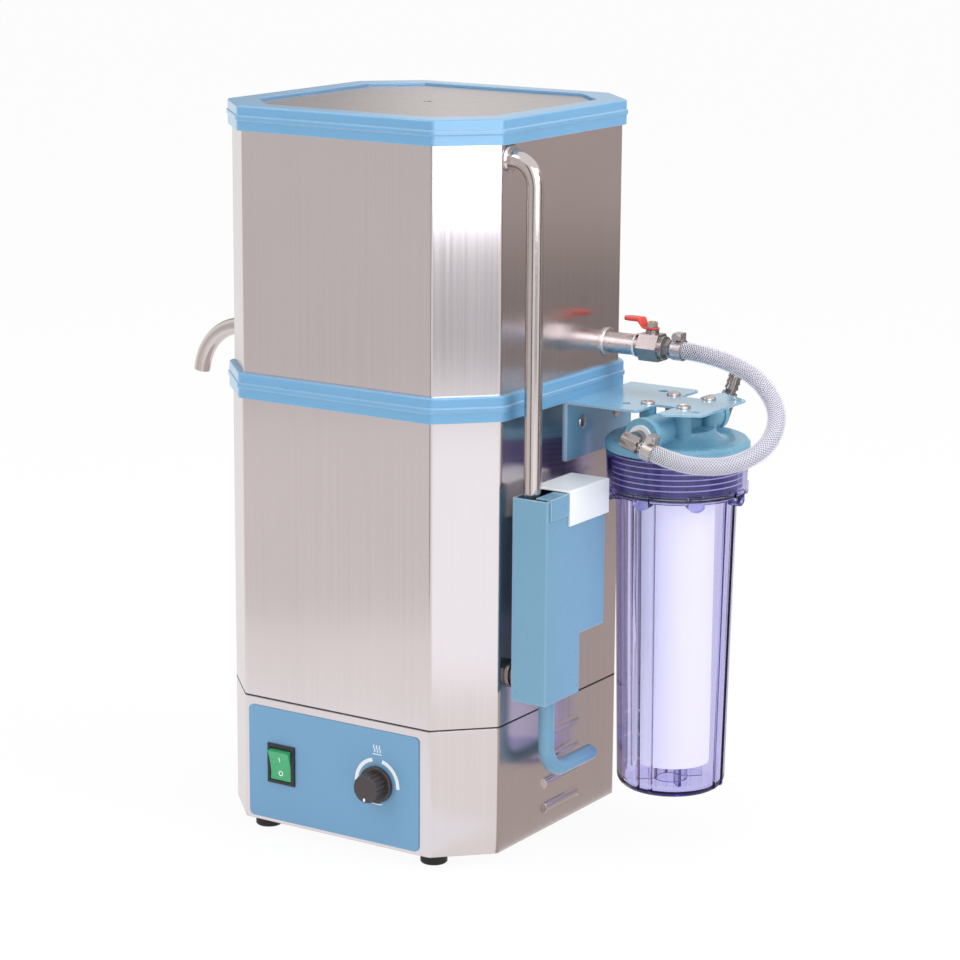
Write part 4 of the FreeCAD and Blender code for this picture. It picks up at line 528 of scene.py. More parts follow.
def yarns(line, hand):
    """Array (yarn, station, point, xyz) of flat yarns.  The angle round the line grows evenly with
    the length along it, one turn to a pitch, forwards or backwards by the sign of hand."""
    points, at, side, across = stations_along(line, YARN_STEP, YARN_TRIM)
    start = np.arange(YARN_COUNT)[:, None] * TAU / YARN_COUNT
    turn = (start + hand * TAU * at / YARN_PITCH)[..., None]
    outward = side * np.cos(turn) + across * np.sin(turn)
    centre = points + outward * YARN_LAY_RADIUS
    heading = np.gradient(centre, axis=1)
    heading /= np.linalg.norm(heading, axis=2, keepdims=True)
    beside = np.cross(heading, outward)
    corners = [centre + a * YARN_HALF_WIDTH * beside + b * YARN_HALF_THICKNESS * outward
               for a, b in ((-1, 0), (0, 1), (1, 0), (0, -1))]
    return np.stack(corners, 2)


braid = capped_tubes("hose_braid", np.concatenate([yarns(hose_line, 1), yarns(hose_line, -1)]),
                     YARN_SMOOTH_DEGREES)
YARN_FINISH = give_grain(new_finish("white_polyester_yarn", "#F1F0F7", 0.45),
                         grain_mm=(0.8, 0.8, 0.8), depth_mm=0.03, tone=0.06, rough_spread=0.1)
HOSE_FINISH = give_grain(new_finish("clear_flexible_pvc", "#E4E3F2", 0.1, Alpha=0.14),
                         grain_mm=(5, 5, 5), depth_mm=0.01, tone=0.03, rough_spread=0.03)
settle(braid, YARN_FINISH, "still")
settle(hose, HOSE_FINISH, "still")
print("yarn triangles", 2 * len(braid.data.polygons))

# %% [markdown]
# The tube that the yarn is wound on shows between the yarns.  It looks lavender grey where the hose
# is empty.  At either end it is painted near black, as painted shade over the metal barbs.  A number
# at every point, one at the ends and nothing between, carries that painted shade into the finish.

# %% Inner tube of the hose
CORE_RADIUS = 5.95 * MM
CORE_STEP = 2.5 * MM
CORE_TRIM = 0.3 * MM
CORE_COLUMNS = 24
BARB_REACH = 22 * MM
BARB_FADE = 18 * MM
# Near black over the barbs is painted shade.
EMPTY_SHADE, BARB_PAINTED_SHADE = "#8F8BAA", "#171214"
UNEVEN_SIZE = 4 * MM
UNEVEN_LOW, UNEVEN_HIGH = 0.9, 1.1

points, at, side, across = stations_along(hose_line, CORE_STEP, CORE_TRIM)
angle = np.linspace(0, TAU, CORE_COLUMNS, endpoint=False)[None, :, None]
outward = side[:, None] * np.cos(angle) + across[:, None] * np.sin(angle)
core = capped_tubes("hose_core", (points[:, None] + CORE_RADIUS * outward)[None])
to_end = np.minimum(at, at[-1] - at)
over_barb = np.clip((BARB_REACH + BARB_FADE - to_end) / BARB_FADE, 0, 1)
mark = core.data.attributes.new("over_barb", "FLOAT", "POINT")
mark.data.foreach_set("value", np.repeat(over_barb, CORE_COLUMNS))

CORE_FINISH = new_finish("clear_tube_over_barb", EMPTY_SHADE, 0.3)
tree = CORE_FINISH.node_tree
shade = add_node(tree, "ShaderNodeAttribute", attribute_name="over_barb").outputs["Fac"]
place = add_node(tree, "ShaderNodeTexCoord").outputs["Object"]
uneven = add_node(tree, "ShaderNodeTexNoise", {"Vector": place, "Scale": 1 / UNEVEN_SIZE}).outputs[0]
uneven = spread(tree, uneven, UNEVEN_LOW, UNEVEN_HIGH)
shade = add_node(tree, "ShaderNodeMath", {0: shade, 1: uneven}, operation="MULTIPLY").outputs[0]
blend = add_node(tree, "ShaderNodeMix", {0: shade, 6: linear(EMPTY_SHADE), 7: linear(BARB_PAINTED_SHADE)},
                 data_type="RGBA").outputs[2]
tree.links.new(blend, tree.nodes["Principled BSDF"].inputs["Base Color"])
settle(core, CORE_FINISH, "still")
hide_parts("water_hose")
print("inner tube rings", len(at))

# %% [markdown]
# ## Hose elbows
# Each elbow is cut from hexagon bar of nickel-plated brass: a round neck into the port, a hexagon
# body across it, and a barbed tail for the hose.  The body is a lathe profile whose section is the
# smaller of a circle and a hexagon, and that gives the bevelled corners of a chamfered nut.  A
# hexagon a metre wide never cuts, so it stands for a round section.

# %% Turned shapes
ROUND = 1000.0
SECTOR = TAU / 6
OFF_AXIS = (0.36, 0.48, 0.8)


def turned(start, direction, profile, columns=48):
    """Rings (ring, point, xyz) round a line.  At each (distance, radius, flats) of the profile, in
    mm, the section is the smaller of that circle and of a hexagon so wide across its flats."""
    along = np.array(direction) / np.linalg.norm(direction)
    beside = np.cross(along, OFF_AXIS)
    beside /= np.linalg.norm(beside)
    angle = np.linspace(0, TAU, columns, endpoint=False)
    outward = np.cos(angle)[:, None] * beside + np.sin(angle)[:, None] * np.cross(along, beside)
    to_corner = np.cos(angle % SECTOR - SECTOR / 2)
    distance, radius, flats = np.array(profile).T[:, :, None] * MM
    reach = np.minimum(radius, flats / 2 / to_corner)
    return np.array(start) + distance[..., None] * along + reach[..., None] * outward


def ridges(first, count, length, low, high):
    """Lathe profile of hose barbs: each starts high, where it bites, and falls towards the tip."""
    return [(first + number * length + share * length, high - share * (high - low), ROUND)
            for number in range(count) for share in (0, 1)]


print("a turned ring has", turned((0, 0, 0), (0, 0, 1), [(0, 1, ROUND)]).shape[1], "points")

# %% [markdown]
# Both elbows stand in the ports of the filter head, which run through the white bushes.  The front
# one points along the hose, and the rear one, where the water comes in, points steeply up.

# %% Elbows
BUSH_LOW, BUSH_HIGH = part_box("port_bushes")
PORT_X, PORT_Z = (BUSH_LOW.x + BUSH_HIGH.x) / 2, (BUSH_LOW.z + BUSH_HIGH.z) / 2
KNEE_REACH = 16.0 * MM
FLATS = 12.0
NECK_PROFILE = [(-19, 5.4, ROUND), (0.2, 5.4, ROUND), (0.2, 6.0, ROUND), (16, 6.0, ROUND)]
NOSE = [(34, 3.3, ROUND), (34, 2.6, ROUND), (20, 2.6, ROUND)]
OUTLET_ARM = [(-5.6, 5.4, FLATS), (-4.8, 6.7, FLATS), (8.8, 6.7, FLATS), (9.6, 5.4, FLATS),
              (9.6, 4.2, ROUND), (18, 4.2, ROUND)] + ridges(19, 3, 4, 4.2, 4.75) + NOSE
INLET_ARM = [(-7.2, 5.4, FLATS), (-6.4, 6.7, FLATS), (13.2, 6.7, FLATS), (14, 5.6, FLATS),
             (14, 4.4, ROUND), (18, 4.4, ROUND)] + ridges(18, 3, 4.6, 4.5, 5.6) + NOSE
OUTLET_DEGREES, INLET_DEGREES = -17.3, 72.0


def elbow(name, node, port_side, arm_degrees, arm_profile):
    """Elbow in the port on one side of the filter head, its arm turned arm_degrees up from +X.  Its
    two lathe shapes take the place of one CAD part."""
    face = BUSH_HIGH.y if port_side > 0 else BUSH_LOW.y
    knee = np.array([PORT_X, face + port_side * KNEE_REACH, PORT_Z])
    arm = (math.cos(math.radians(arm_degrees)), 0, math.sin(math.radians(arm_degrees)))
    port = (PORT_X, face, PORT_Z)
    neck = capped_tubes(name + "_neck", turned(port, (0, port_side, 0), NECK_PROFILE)[None])
    body = capped_tubes(name, turned(knee, arm, arm_profile)[None])
    for part in (neck, body):
        settle(part, FINISH["nickel_brass"], "still")
        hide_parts(node)


elbow("outlet_elbow_hex", "outlet_elbow", -1, OUTLET_DEGREES, OUTLET_ARM)
elbow("inlet_elbow_hex", "inlet_elbow", 1, INLET_DEGREES, INLET_ARM)
print("elbows turned, each knee", KNEE_REACH / MM, "mm from its port")

# %% [markdown]
# ## Lever of the ball valve
# The lever is pressed from steel strip and dipped in red vinyl.  It has a round hub under its nut, a
# step up over the pipe and a broad paddle with a round end.  Width, height and thickness are each a
# function of the distance along the strip, and the section is a rounded oblong: its corners stand
# out because the sine and cosine are drawn towards one by a square root.

# %% Lever
LEVER_LOW, LEVER_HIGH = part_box("valve_lever")
HUB_RADIUS, BLADE_HALF, PADDLE_HALF = 5.4 * MM, 4.6 * MM, 6.2 * MM
HUB_THICKNESS, PADDLE_THICKNESS = 1.6 * MM, 3.2 * MM
STEP_START, STEP_RUN, STEP_RISE = 5.2 * MM, 5.4 * MM, 5.3 * MM
LEVER_RINGS, LEVER_COLUMNS = 72, 28
LEAST_HALF = 0.05 * MM
OBLONG_POWER = 0.5
hub_x = LEVER_HIGH.x - HUB_RADIUS
reach = np.linspace(0, math.pi, LEVER_RINGS)
x = (LEVER_LOW.x + LEVER_HIGH.x) / 2 + (LEVER_HIGH.x - LEVER_LOW.x) / 2 * np.cos(reach)
climb = np.clip((hub_x - STEP_START - x) / STEP_RUN, 0, 1)
climb = climb * climb * (3 - 2 * climb)
hub_half = np.sqrt(np.clip(HUB_RADIUS ** 2 - (x - hub_x) ** 2, 0, None))
blade_half = (BLADE_HALF + (PADDLE_HALF - BLADE_HALF) * climb) * (x < hub_x)
from_tip = np.clip((LEVER_LOW.x + PADDLE_HALF - x) / PADDLE_HALF, 0, 1)
half = np.maximum(np.maximum(hub_half, blade_half) * np.sqrt(1 - from_tip ** 2), LEAST_HALF)
thick = HUB_THICKNESS + (PADDLE_THICKNESS - HUB_THICKNESS) * climb
middle = LEVER_LOW.z + thick / 2 + STEP_RISE * climb
thick = thick * np.sqrt(1 + np.gradient(middle, x) ** 2)
angle = np.linspace(0, TAU, LEVER_COLUMNS, endpoint=False)
oblong_y = np.sign(np.cos(angle)) * np.abs(np.cos(angle)) ** OBLONG_POWER
oblong_z = np.sign(np.sin(angle)) * np.abs(np.sin(angle)) ** OBLONG_POWER
rings = np.stack([x[:, None] + 0 * angle,
                  (LEVER_LOW.y + LEVER_HIGH.y) / 2 + half[:, None] * oblong_y,
                  middle[:, None] + thick[:, None] / 2 * oblong_z], -1)
lever = capped_tubes("dipped_lever", rings[None])
settle(lever, FINISH["red_lever_coat"], "valve")
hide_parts("valve_lever")
print("lever", round((LEVER_HIGH.x - LEVER_LOW.x) / MM, 1), "mm long")

# %% [markdown]
# ## Print on the front panel
# The panel has a white printed scale round the knob, a sign for heat over it, and a small index
# mark under it.  It could be a pattern in the panel's paint, but a mesh keeps its edges sharp close
# up.  Ink stands a few hundredths of a millimetre proud.  Each stroke is a flat ribbon along a line
# in the panel's plane, with its back sunk a little, so that no gap shows behind it.

# %% Strokes of ink
PANEL_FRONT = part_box("front_panel")[0].y
KNOB_LOW, KNOB_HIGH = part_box("control_knob")
KNOB_X = (KNOB_LOW.x + KNOB_HIGH.x) / 2
KNOB_Z = (KNOB_LOW.z + KNOB_HIGH.z) / 2
INK = 0.06 * MM
SUNK_SHARE = -0.2
ARC_STATIONS = 40


def stroke(x, z, width, front=0.0, ink=INK):
    """One flat ribbon (1, station, point, xyz) along the line x, z in the panel's plane, square
    ended, with its back on the plane y = front."""
    line = np.stack([x, z], -1)
    along = np.gradient(line, axis=0)
    along /= np.linalg.norm(along, axis=1, keepdims=True)
    beside = np.stack([-along[:, 1], along[:, 0]], -1) * width / 2
    corners = ((-1, SUNK_SHARE), (1, SUNK_SHARE), (1, 1), (-1, 1))
    ring = [(line + a * beside, front - b * ink) for a, b in corners]
    return np.stack([np.insert(flat, 1, y, axis=1) for flat, y in ring], 1)[None]


def arc_stroke(x, z, radius, width, from_degrees, to_degrees, front, ink=INK):
    """Ribbon along an arc round (x, z), counted from +X towards +Z."""
    angle = np.radians(np.linspace(from_degrees, to_degrees, ARC_STATIONS))
    return stroke(x + radius * np.cos(angle), z + radius * np.sin(angle), width, front, ink)


print("ink stands", INK / MM, "mm proud")

# %% [markdown]
# The scale is two broad arcs, with a thinner one under the knob as its index mark.  The sign for
# heat is three strokes that each wave once sideways as they rise, over a level line.

# %% Panel print
SCALE_RADIUS, SCALE_WIDTH = 19.3 * MM, 3.0 * MM
SCALE_LEFT, SCALE_RIGHT = (182, 103), (76, -3)
INDEX_RADIUS, INDEX_WIDTH = 16.4 * MM, 0.8 * MM
INDEX_ARC = (-112, -72)
HEAT_PITCH, HEAT_WAVE, HEAT_WIDTH = 2.6, 0.7, 0.75 * MM
HEAT_FOOT, HEAT_RISE = 25.4, 5.6
LINE_LENGTH, LINE_ABOVE, LINE_WIDTH = 8.4, 23.9, 0.7 * MM

print_strokes = [
    arc_stroke(KNOB_X, KNOB_Z, SCALE_RADIUS, SCALE_WIDTH, *SCALE_LEFT, PANEL_FRONT),
    arc_stroke(KNOB_X, KNOB_Z, SCALE_RADIUS, SCALE_WIDTH, *SCALE_RIGHT, PANEL_FRONT),
    arc_stroke(KNOB_X, KNOB_Z, INDEX_RADIUS, INDEX_WIDTH, *INDEX_ARC, PANEL_FRONT),
]
rise = np.linspace(0, 1, ARC_STATIONS)
for offset in (-HEAT_PITCH, 0.0, HEAT_PITCH):
    print_strokes.append(stroke(KNOB_X + (offset + HEAT_WAVE * np.sin(TAU * rise)) * MM,
                                KNOB_Z + (HEAT_FOOT + HEAT_RISE * rise) * MM, HEAT_WIDTH, PANEL_FRONT))
print_strokes.append(stroke(KNOB_X + (rise - 0.5) * LINE_LENGTH * MM,
                            KNOB_Z + (LINE_ABOVE + 0 * rise) * MM, LINE_WIDTH, PANEL_FRONT))
panel_print = capped_tubes("panel_print", np.concatenate(print_strokes))
INK_FINISH = give_grain(new_finish("white_screen_ink", "#F4F7FA", 0.5), grain_mm=(0.5, 0.5, 0.5),
                        depth_mm=0.004, tone=0.02, rough_spread=0.05)
settle(panel_print, INK_FINISH, "still")
print("panel print of", len(print_strokes), "strokes")

# %% [markdown]
# ## Marks on the switch and the knob
# The rocker's face is hollow: an arc about 47 mm in radius.  Its two marks, a bar and a ring, are
# bent to that arc and then tilted about the rocker's pin, as the rocker is.  The knob has one white
# dot near its rim.

# %% Switch and knob marks
BEZEL_LOW, BEZEL_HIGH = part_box("switch_housing")
SWITCH_X = (BEZEL_LOW.x + BEZEL_HIGH.x) / 2
SWITCH_Z = (BEZEL_LOW.z + BEZEL_HIGH.z) / 2
PIVOT_DEPTH = 3.0 * MM
PIVOT_Y = BEZEL_LOW.y + PIVOT_DEPTH
FACE_RADIUS = 47.31 * MM
FACE_DEPTH = 3.0 * MM
ROCKER_TILT = math.radians(10)
RING_BELOW, RING_RADIUS, RING_WIDTH = 6.6 * MM, 1.75 * MM, 0.7 * MM
BAR_ABOVE, BAR_LENGTH, BAR_WIDTH = 3.0, 4.2, 0.8 * MM
DOT_BELOW, DOT_LENGTH, DOT_WIDTH = 8.4 * MM, 2.4 * MM, 1.9 * MM
DOT_LEFT = 0.6


def on_rocker(strokes):
    """Bend flat marks onto the rocker's hollow face and tilt them with it about its pin.  The face
    sinks by the height of an arc at each distance up or down from its middle."""
    x, y, z = np.moveaxis(strokes, -1, 0)
    z = z - SWITCH_Z
    y = y - FACE_DEPTH - FACE_RADIUS + np.sqrt(FACE_RADIUS ** 2 - z ** 2)
    cos, sin = math.cos(ROCKER_TILT), math.sin(ROCKER_TILT)
    return np.stack([x, PIVOT_Y + y * cos - z * sin, SWITCH_Z + y * sin + z * cos], -1)


ring_mark = arc_stroke(SWITCH_X, SWITCH_Z - RING_BELOW, RING_RADIUS, RING_WIDTH, 0, 360, 0.0)
bar_mark = stroke(SWITCH_X + 0 * rise, SWITCH_Z + (BAR_ABOVE + BAR_LENGTH * rise) * MM, BAR_WIDTH)
rocker_marks = capped_tubes("rocker_marks", on_rocker(np.concatenate([ring_mark, bar_mark])))
settle(rocker_marks, INK_FINISH, "rocker")

dot_z = KNOB_Z - DOT_BELOW
dot = stroke(KNOB_X - (DOT_LEFT + 0 * rise) * MM, dot_z + (rise - 0.5) * DOT_LENGTH, DOT_WIDTH, KNOB_LOW.y)
settle(capped_tubes("knob_mark", dot), INK_FINISH, "knob")
print("marks bent to a radius of", FACE_RADIUS / MM, "mm")

# %% [markdown]
# ## Screw thread in the filter's collar
# The head's coarse thread is seen through the clear collar as six or seven bright lines.  Rings
# would do from afar, but the lines must slope.  So it is one low ridge that winds round the head's
# skirt, and its height grows steadily with its angle.  The ridge is pale lavender, not the head's
# teal: its colour is a painted highlight along those bright lines.

# %% Thread
FILTER_X, FILTER_Y = 197.0 * MM, 53.0 * MM
THREAD_INSIDE = 50.42 * MM
THREAD_OUTSIDE = 50.66 * MM
THREAD_PITCH = 4.3 * MM
THREAD_TURNS = 6
THREAD_HALF_HEIGHT = 0.5 * MM
THREAD_BOTTOM = 275.6 * MM
STEPS_A_TURN = 96


def helix_ridge(turns, pitch, inside, outside, half_height, bottom):
    """One low ridge (1, station, point, xyz): its angle grows evenly and its height with it."""
    angle = np.linspace(0, TAU * turns, STEPS_A_TURN * turns)
    height = bottom + pitch * angle / TAU
    corners = [(inside, -half_height), (outside, -half_height / 2),
               (outside, half_height / 2), (inside, half_height)]
    rings = [np.stack([FILTER_X + r * np.cos(angle), FILTER_Y + r * np.sin(angle), height + dz], -1)
             for r, dz in corners]
    return np.stack(rings, 1)[None]


thread = capped_tubes("head_thread", helix_ridge(THREAD_TURNS, THREAD_PITCH, THREAD_INSIDE,
                                                 THREAD_OUTSIDE, THREAD_HALF_HEIGHT, THREAD_BOTTOM))
# Pale lavender: painted highlight on the crests of the thread.
THREAD_HIGHLIGHT_FINISH = give_grain(new_finish("thread_painted_highlight", "#CFC8F2", 0.2), grain_mm=(3, 3, 3),
                           depth_mm=0.01, tone=0.05, rough_spread=0.05)
settle(thread, THREAD_HIGHLIGHT_FINISH, "still")
print("thread triangles", 2 * len(thread.data.polygons))

# %% [markdown]
# Through the violet collar the roots of the thread look dark blue.  That look is painted shade: a
# dark sleeve a few hundredths of a millimetre thick round the skirt, under the crests of the thread.

# %% Painted shade in the thread
SKIRT_BOTTOM, SKIRT_TOP = 274.2 * MM, 302.6 * MM
SHADE_SLEEVE_INSIDE, SHADE_SLEEVE_OUTSIDE = 50.41, 50.44
SHADE_SLEEVE_COLUMNS = 128

angle = np.linspace(0, TAU, SHADE_SLEEVE_COLUMNS, endpoint=False)
sleeve = [(SHADE_SLEEVE_INSIDE, SKIRT_BOTTOM), (SHADE_SLEEVE_OUTSIDE, SKIRT_BOTTOM),
          (SHADE_SLEEVE_OUTSIDE, SKIRT_TOP), (SHADE_SLEEVE_INSIDE, SKIRT_TOP)]
sleeve = [np.stack([FILTER_X + r * MM * np.cos(angle), FILTER_Y + r * MM * np.sin(angle),
                    z + 0 * angle], -1) for r, z in sleeve]
painted_shade = ring_solid("thread_painted_shade", np.stack(sleeve, 1))
# Dark blue mottled sleeve: painted shade at the roots of the thread.
THREAD_SHADE_FINISH = give_grain(new_finish("dark_thread_painted_shade", "#2A2068", 0.35), grain_mm=(9, 9, 5),
                           depth_mm=0.02, tone=0.5, rough_spread=0.1, cloud_mm=26)
settle(painted_shade, THREAD_SHADE_FINISH, "still")
print("grease sleeve", round((SKIRT_TOP - SKIRT_BOTTOM) / MM, 1), "mm tall")

# %% [markdown]
# ## The seam between the base and the boiler
# The boiler's casing stands on the base with a thin black bead of sealant between them.  The bead
# follows the eight-sided outline, whose corners are rounded by the fold of the sheet.  It is a hoop
# of its own, because a dark line in the steel's finish would lie flat.

# %% Seam
BODY_HALF = 125.0 * MM
CORNER_LEG = 38.0 * MM
CORNER_BEND = 5.0 * MM
SEAM_Z = 101.0 * MM
SEAM_PROUD, SEAM_HALF_HEIGHT = 0.15 * MM, 0.45 * MM
SEAM_SUNK = 0.5 * MM
SHOULDER_SHARE = 0.6


def eight_sides(half, leg, bend, steps=5):
    """Points and outward directions of the casing's outline: straight sides, and at each of the
    eight corners an arc of 45 degrees and radius bend."""
    side = half - leg
    ring = [(half, -side), (half, side), (side, half), (-side, half)]
    ring = np.array(ring + [(-x, -y) for x, y in ring])
    before = np.roll(ring, 1, axis=0)
    heading = (ring - before) / np.linalg.norm(ring - before, axis=1, keepdims=True)
    outward = np.stack([heading[:, 1], -heading[:, 0]], -1)
    start = ring - heading * bend * math.tan(TAU / 16)
    centre = start - outward * bend
    turn = np.linspace(0, TAU / 8, steps)[None, :, None]
    direction = outward[:, None] * np.cos(turn) + heading[:, None] * np.sin(turn)
    return (centre[:, None] + bend * direction).reshape(-1, 2), direction.reshape(-1, 2)


def bead_round(name, proud, half_height, z):
    """Flat bead along the outline: its section is a small hexagon, proud of the sheet."""
    points, outward = eight_sides(BODY_HALF, CORNER_LEG, CORNER_BEND)
    shoulder = proud * SHOULDER_SHARE
    section = [(-SEAM_SUNK, -half_height), (shoulder, -half_height), (proud, -half_height / 2),
               (proud, half_height / 2), (shoulder, half_height), (-SEAM_SUNK, half_height)]
    rings = [np.c_[points + outward * reach, np.full(len(points), z + dz)] for reach, dz in section]
    return ring_solid(name, np.stack(rings, 1))


seam = bead_round("seam_sealant", SEAM_PROUD, SEAM_HALF_HEIGHT, SEAM_Z)
settle(seam, FINISH["black_rubber"], "still")
print("seam", 2 * SEAM_HALF_HEIGHT / MM, "mm wide")

# %% [markdown]
# ## Pan-head screws
# Four screws hold the filter head to the bracket.  Each has a low domed head with a cross recess.
# The head is a height over a disc: a dome, less the recess where either arm of the cross lies.

# %% Screws
SCREW_HEAD_RADIUS = 5.5 * MM
SCREW_HEAD_HEIGHT = 3.0 * MM
SCREW_HALF_X, SCREW_HALF_Y = 15.5 * MM, 20.0 * MM
DOME_SHARES = np.linspace(0.97, 0.0, 26)
SIDE_SHARE, DOME_FALL = 0.45, 0.5
ARM_HALF, ARM_SLOPE = 0.75, 0.25
ARM_REACH, ARM_END = 2.9, 0.5
RECESS_DEPTH = 1.5 * MM
FIRST_SPIN, NEXT_SPIN = 0.4, 0.9
FLAT_DEGREES = 35
BRACKET_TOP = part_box("filter_bracket")[1].z
SCREW_PLACES = [(FILTER_X + sx * SCREW_HALF_X, FILTER_Y + sy * SCREW_HALF_Y)
                for sx in (-1, 1) for sy in (-1, 1)]


def screw_head(x, y, z, spin):
    """Rings (1, ring, point, xyz) of one head: up its side, then inwards over its dome to the
    middle.  The recess is a smooth step down where a point is near either arm of the cross."""
    share = np.r_[1.0, 1.0, DOME_SHARES]
    angle = np.linspace(0, TAU, 64, endpoint=False)
    dome = np.r_[0.0, SIDE_SHARE, 1 - DOME_FALL * DOME_SHARES ** 3] * SCREW_HEAD_HEIGHT
    radius = share[:, None] * SCREW_HEAD_RADIUS
    across = radius * np.cos(angle)
    along = radius * np.sin(angle)
    near = np.minimum(np.abs(across), np.abs(along)) / MM
    depth = (np.clip((ARM_HALF - near) / ARM_SLOPE, 0, 1)
             * np.clip((ARM_REACH - radius / MM) / ARM_END, 0, 1))
    height = dome[:, None] - depth * RECESS_DEPTH
    cos, sin = math.cos(spin), math.sin(spin)
    return np.stack([x + across * cos - along * sin, y + across * sin + along * cos, z + height], -1)[None]


heads = [screw_head(x, y, BRACKET_TOP, FIRST_SPIN + NEXT_SPIN * number)
         for number, (x, y) in enumerate(SCREW_PLACES)]
screws = capped_tubes("pan_head_screws", np.concatenate(heads), FLAT_DEGREES)
settle(screws, FINISH["plain_steel"], "still")
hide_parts("bracket_screws")
print("screws", len(SCREW_PLACES))

# %% [markdown]
# Two more screws hold the bracket's flange to the casing.  Only their low round heads show, each in
# its hole, so each is one lathe profile.

# %% Wall screws
WALL_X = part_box("filter_bracket")[0].x
WALL_SCREW = [(0.05, 5.1, ROUND), (2.2, 5.1, ROUND), (2.9, 4.5, ROUND), (3.3, 3.1, ROUND),
              (3.45, 0.05, ROUND)]
WALL_SCREW_DROP, WALL_SCREW_HALF_PITCH = 19.5 * MM, 26.0 * MM
WALL_SCREW_COLUMNS, WALL_SCREW_DEGREES = 32, 30
wall_screw_z = BRACKET_TOP - WALL_SCREW_DROP
heads = [turned((WALL_X, FILTER_Y + side * WALL_SCREW_HALF_PITCH, wall_screw_z), (1, 0, 0),
                WALL_SCREW, WALL_SCREW_COLUMNS) for side in (-1, 1)]
wall_screws = capped_tubes("wall_screws", np.stack(heads), WALL_SCREW_DEGREES)
settle(wall_screws, FINISH["plain_steel"], "still")
print("wall screws", len(heads))

# %% [markdown]
# ## Floor, background, cards and lamps
# The still stands on a white floor that melts into a white background.  More light on the floor
# would do that too, but it would also bleach the still.  So a Light Path node picks out the rays
# that show the background, and those alone see white.

# %% Tools for the stage
def shows_white(tree, share):
    """Share for rays that show the background: camera rays, reflections and rays through glass."""
    path = add_node(tree, "ShaderNodeLightPath")
    shows = add_node(tree, "ShaderNodeMath", {0: path.outputs["Is Camera Ray"],
                     1: path.outputs["Is Glossy Ray"]}, operation="MAXIMUM").outputs[0]
    shows = add_node(tree, "ShaderNodeMath", {0: shows, 1: path.outputs["Is Transmission Ray"]},
                     operation="MAXIMUM").outputs[0]
    return add_node(tree, "ShaderNodeMath", {0: shows, 1: share}, operation="MULTIPLY").outputs[0]


def flat_sheet(name, corners):
    """Stage piece of one four-sided face."""
    mesh = bpy.data.meshes.new(name)
    mesh.from_pydata(corners, [], [(0, 1, 2, 3)])
    sheet = bpy.data.objects.new(name, mesh)
    bpy.context.scene.collection.objects.link(sheet)
    return sheet


print("stage tools ready")

# %% [markdown]
# The floor is a sheet of white paper, large enough to hide its edge.  It keeps a small share of its
# own shading, and so a soft shadow under the still.

# %% Floor
FLOOR_Z = CAD_BOX[0][2]
FLOOR_REACH = 12.0
FLOOR_WHITE_SHARE = 0.93
floor = flat_sheet("floor", [(x * FLOOR_REACH, y * FLOOR_REACH, FLOOR_Z)
                             for x, y in ((-1, -1), (1, -1), (1, 1), (-1, 1))])
floor_finish = new_finish("white_paper_floor", "#F7F7F7", 0.9)
tree = floor_finish.node_tree
white = add_node(tree, "ShaderNodeEmission", {"Color": linear("#FFFFFF"), "Strength": 1.0})
mixed = add_node(tree, "ShaderNodeMixShader", {0: shows_white(tree, FLOOR_WHITE_SHARE),
                 1: tree.nodes["Principled BSDF"].outputs[0], 2: white.outputs[0]})
tree.links.new(mixed.outputs[0], tree.nodes["Material Output"].inputs["Surface"])
floor.data.materials.append(floor_finish)
print("floor", 2 * FLOOR_REACH, "m across")

# %% [markdown]
# The world is white where it is seen, and dimmer where it lights the still, so that the shaded
# sides keep their depth.

# %% World
WORLD_LIGHT = 0.72
world = bpy.data.worlds.new("white_studio")
bpy.context.scene.world = world
world.use_nodes = True
tree = world.node_tree
room = tree.nodes["Background"]
room.inputs["Color"].default_value = linear("#FFFFFF")
room.inputs["Strength"].default_value = WORLD_LIGHT
seen = add_node(tree, "ShaderNodeBackground", {"Color": linear("#FFFFFF"), "Strength": 1.0})
mixed = add_node(tree, "ShaderNodeMixShader", {0: shows_white(tree, 1.0), 1: room.outputs[0],
                 2: seen.outputs[0]})
tree.links.new(mixed.outputs[0], tree.nodes["World Output"].inputs["Surface"])
print("world light", WORLD_LIGHT)

# %% [markdown]
# Brushed steel has next to no shade of its own: it shows what stands round it.  A photographer puts
# grey and white cards there.  Each card here is seen in reflections alone, and its shade is a plain
# glow that is graded from one end to the other, so it gives the same reflection under any lamp.

# %% Glow of a card
def only_reflected(card):
    """Hide a card from every ray but a reflection."""
    card.visible_camera = card.visible_diffuse = False
    card.visible_transmission = card.visible_shadow = False


def graded_glow(name, shade, direction, low, high, stops):
    """Emission of one shade, whose strength goes through the stops (share, strength) as the dot
    product of a place with direction goes from low to high."""
    finish = bpy.data.materials.new(name)
    finish.use_nodes = True
    tree = finish.node_tree
    place = add_node(tree, "ShaderNodeTexCoord").outputs["Object"]
    along = add_node(tree, "ShaderNodeVectorMath", {0: place, 1: direction},
                     operation="DOT_PRODUCT").outputs["Value"]
    share = add_node(tree, "ShaderNodeMapRange", {"Value": along, "From Min": low,
                     "From Max": high}).outputs[0]
    curve = add_node(tree, "ShaderNodeFloatCurve", {"Value": share})
    points = curve.mapping.curves[0].points
    top = max(strength for _, strength in stops)
    for number, (at, strength) in enumerate(stops):
        point = points[number] if number < 2 else points.new(at, strength / top)
        point.location = (at, strength / top)
        point.handle_type = "VECTOR"
    curve.mapping.update()
    strength = add_node(tree, "ShaderNodeMath", {0: curve.outputs[0], 1: top},
                        operation="MULTIPLY").outputs[0]
    glow = add_node(tree, "ShaderNodeEmission", {"Color": linear(shade), "Strength": strength})
    tree.links.new(glow.outputs[0], tree.nodes["Material Output"].inputs["Surface"])
    return finish


print("a glow is a curve of strength over a distance")

# %% [markdown]
# A card stands upright and faces the still, or lies on the floor.

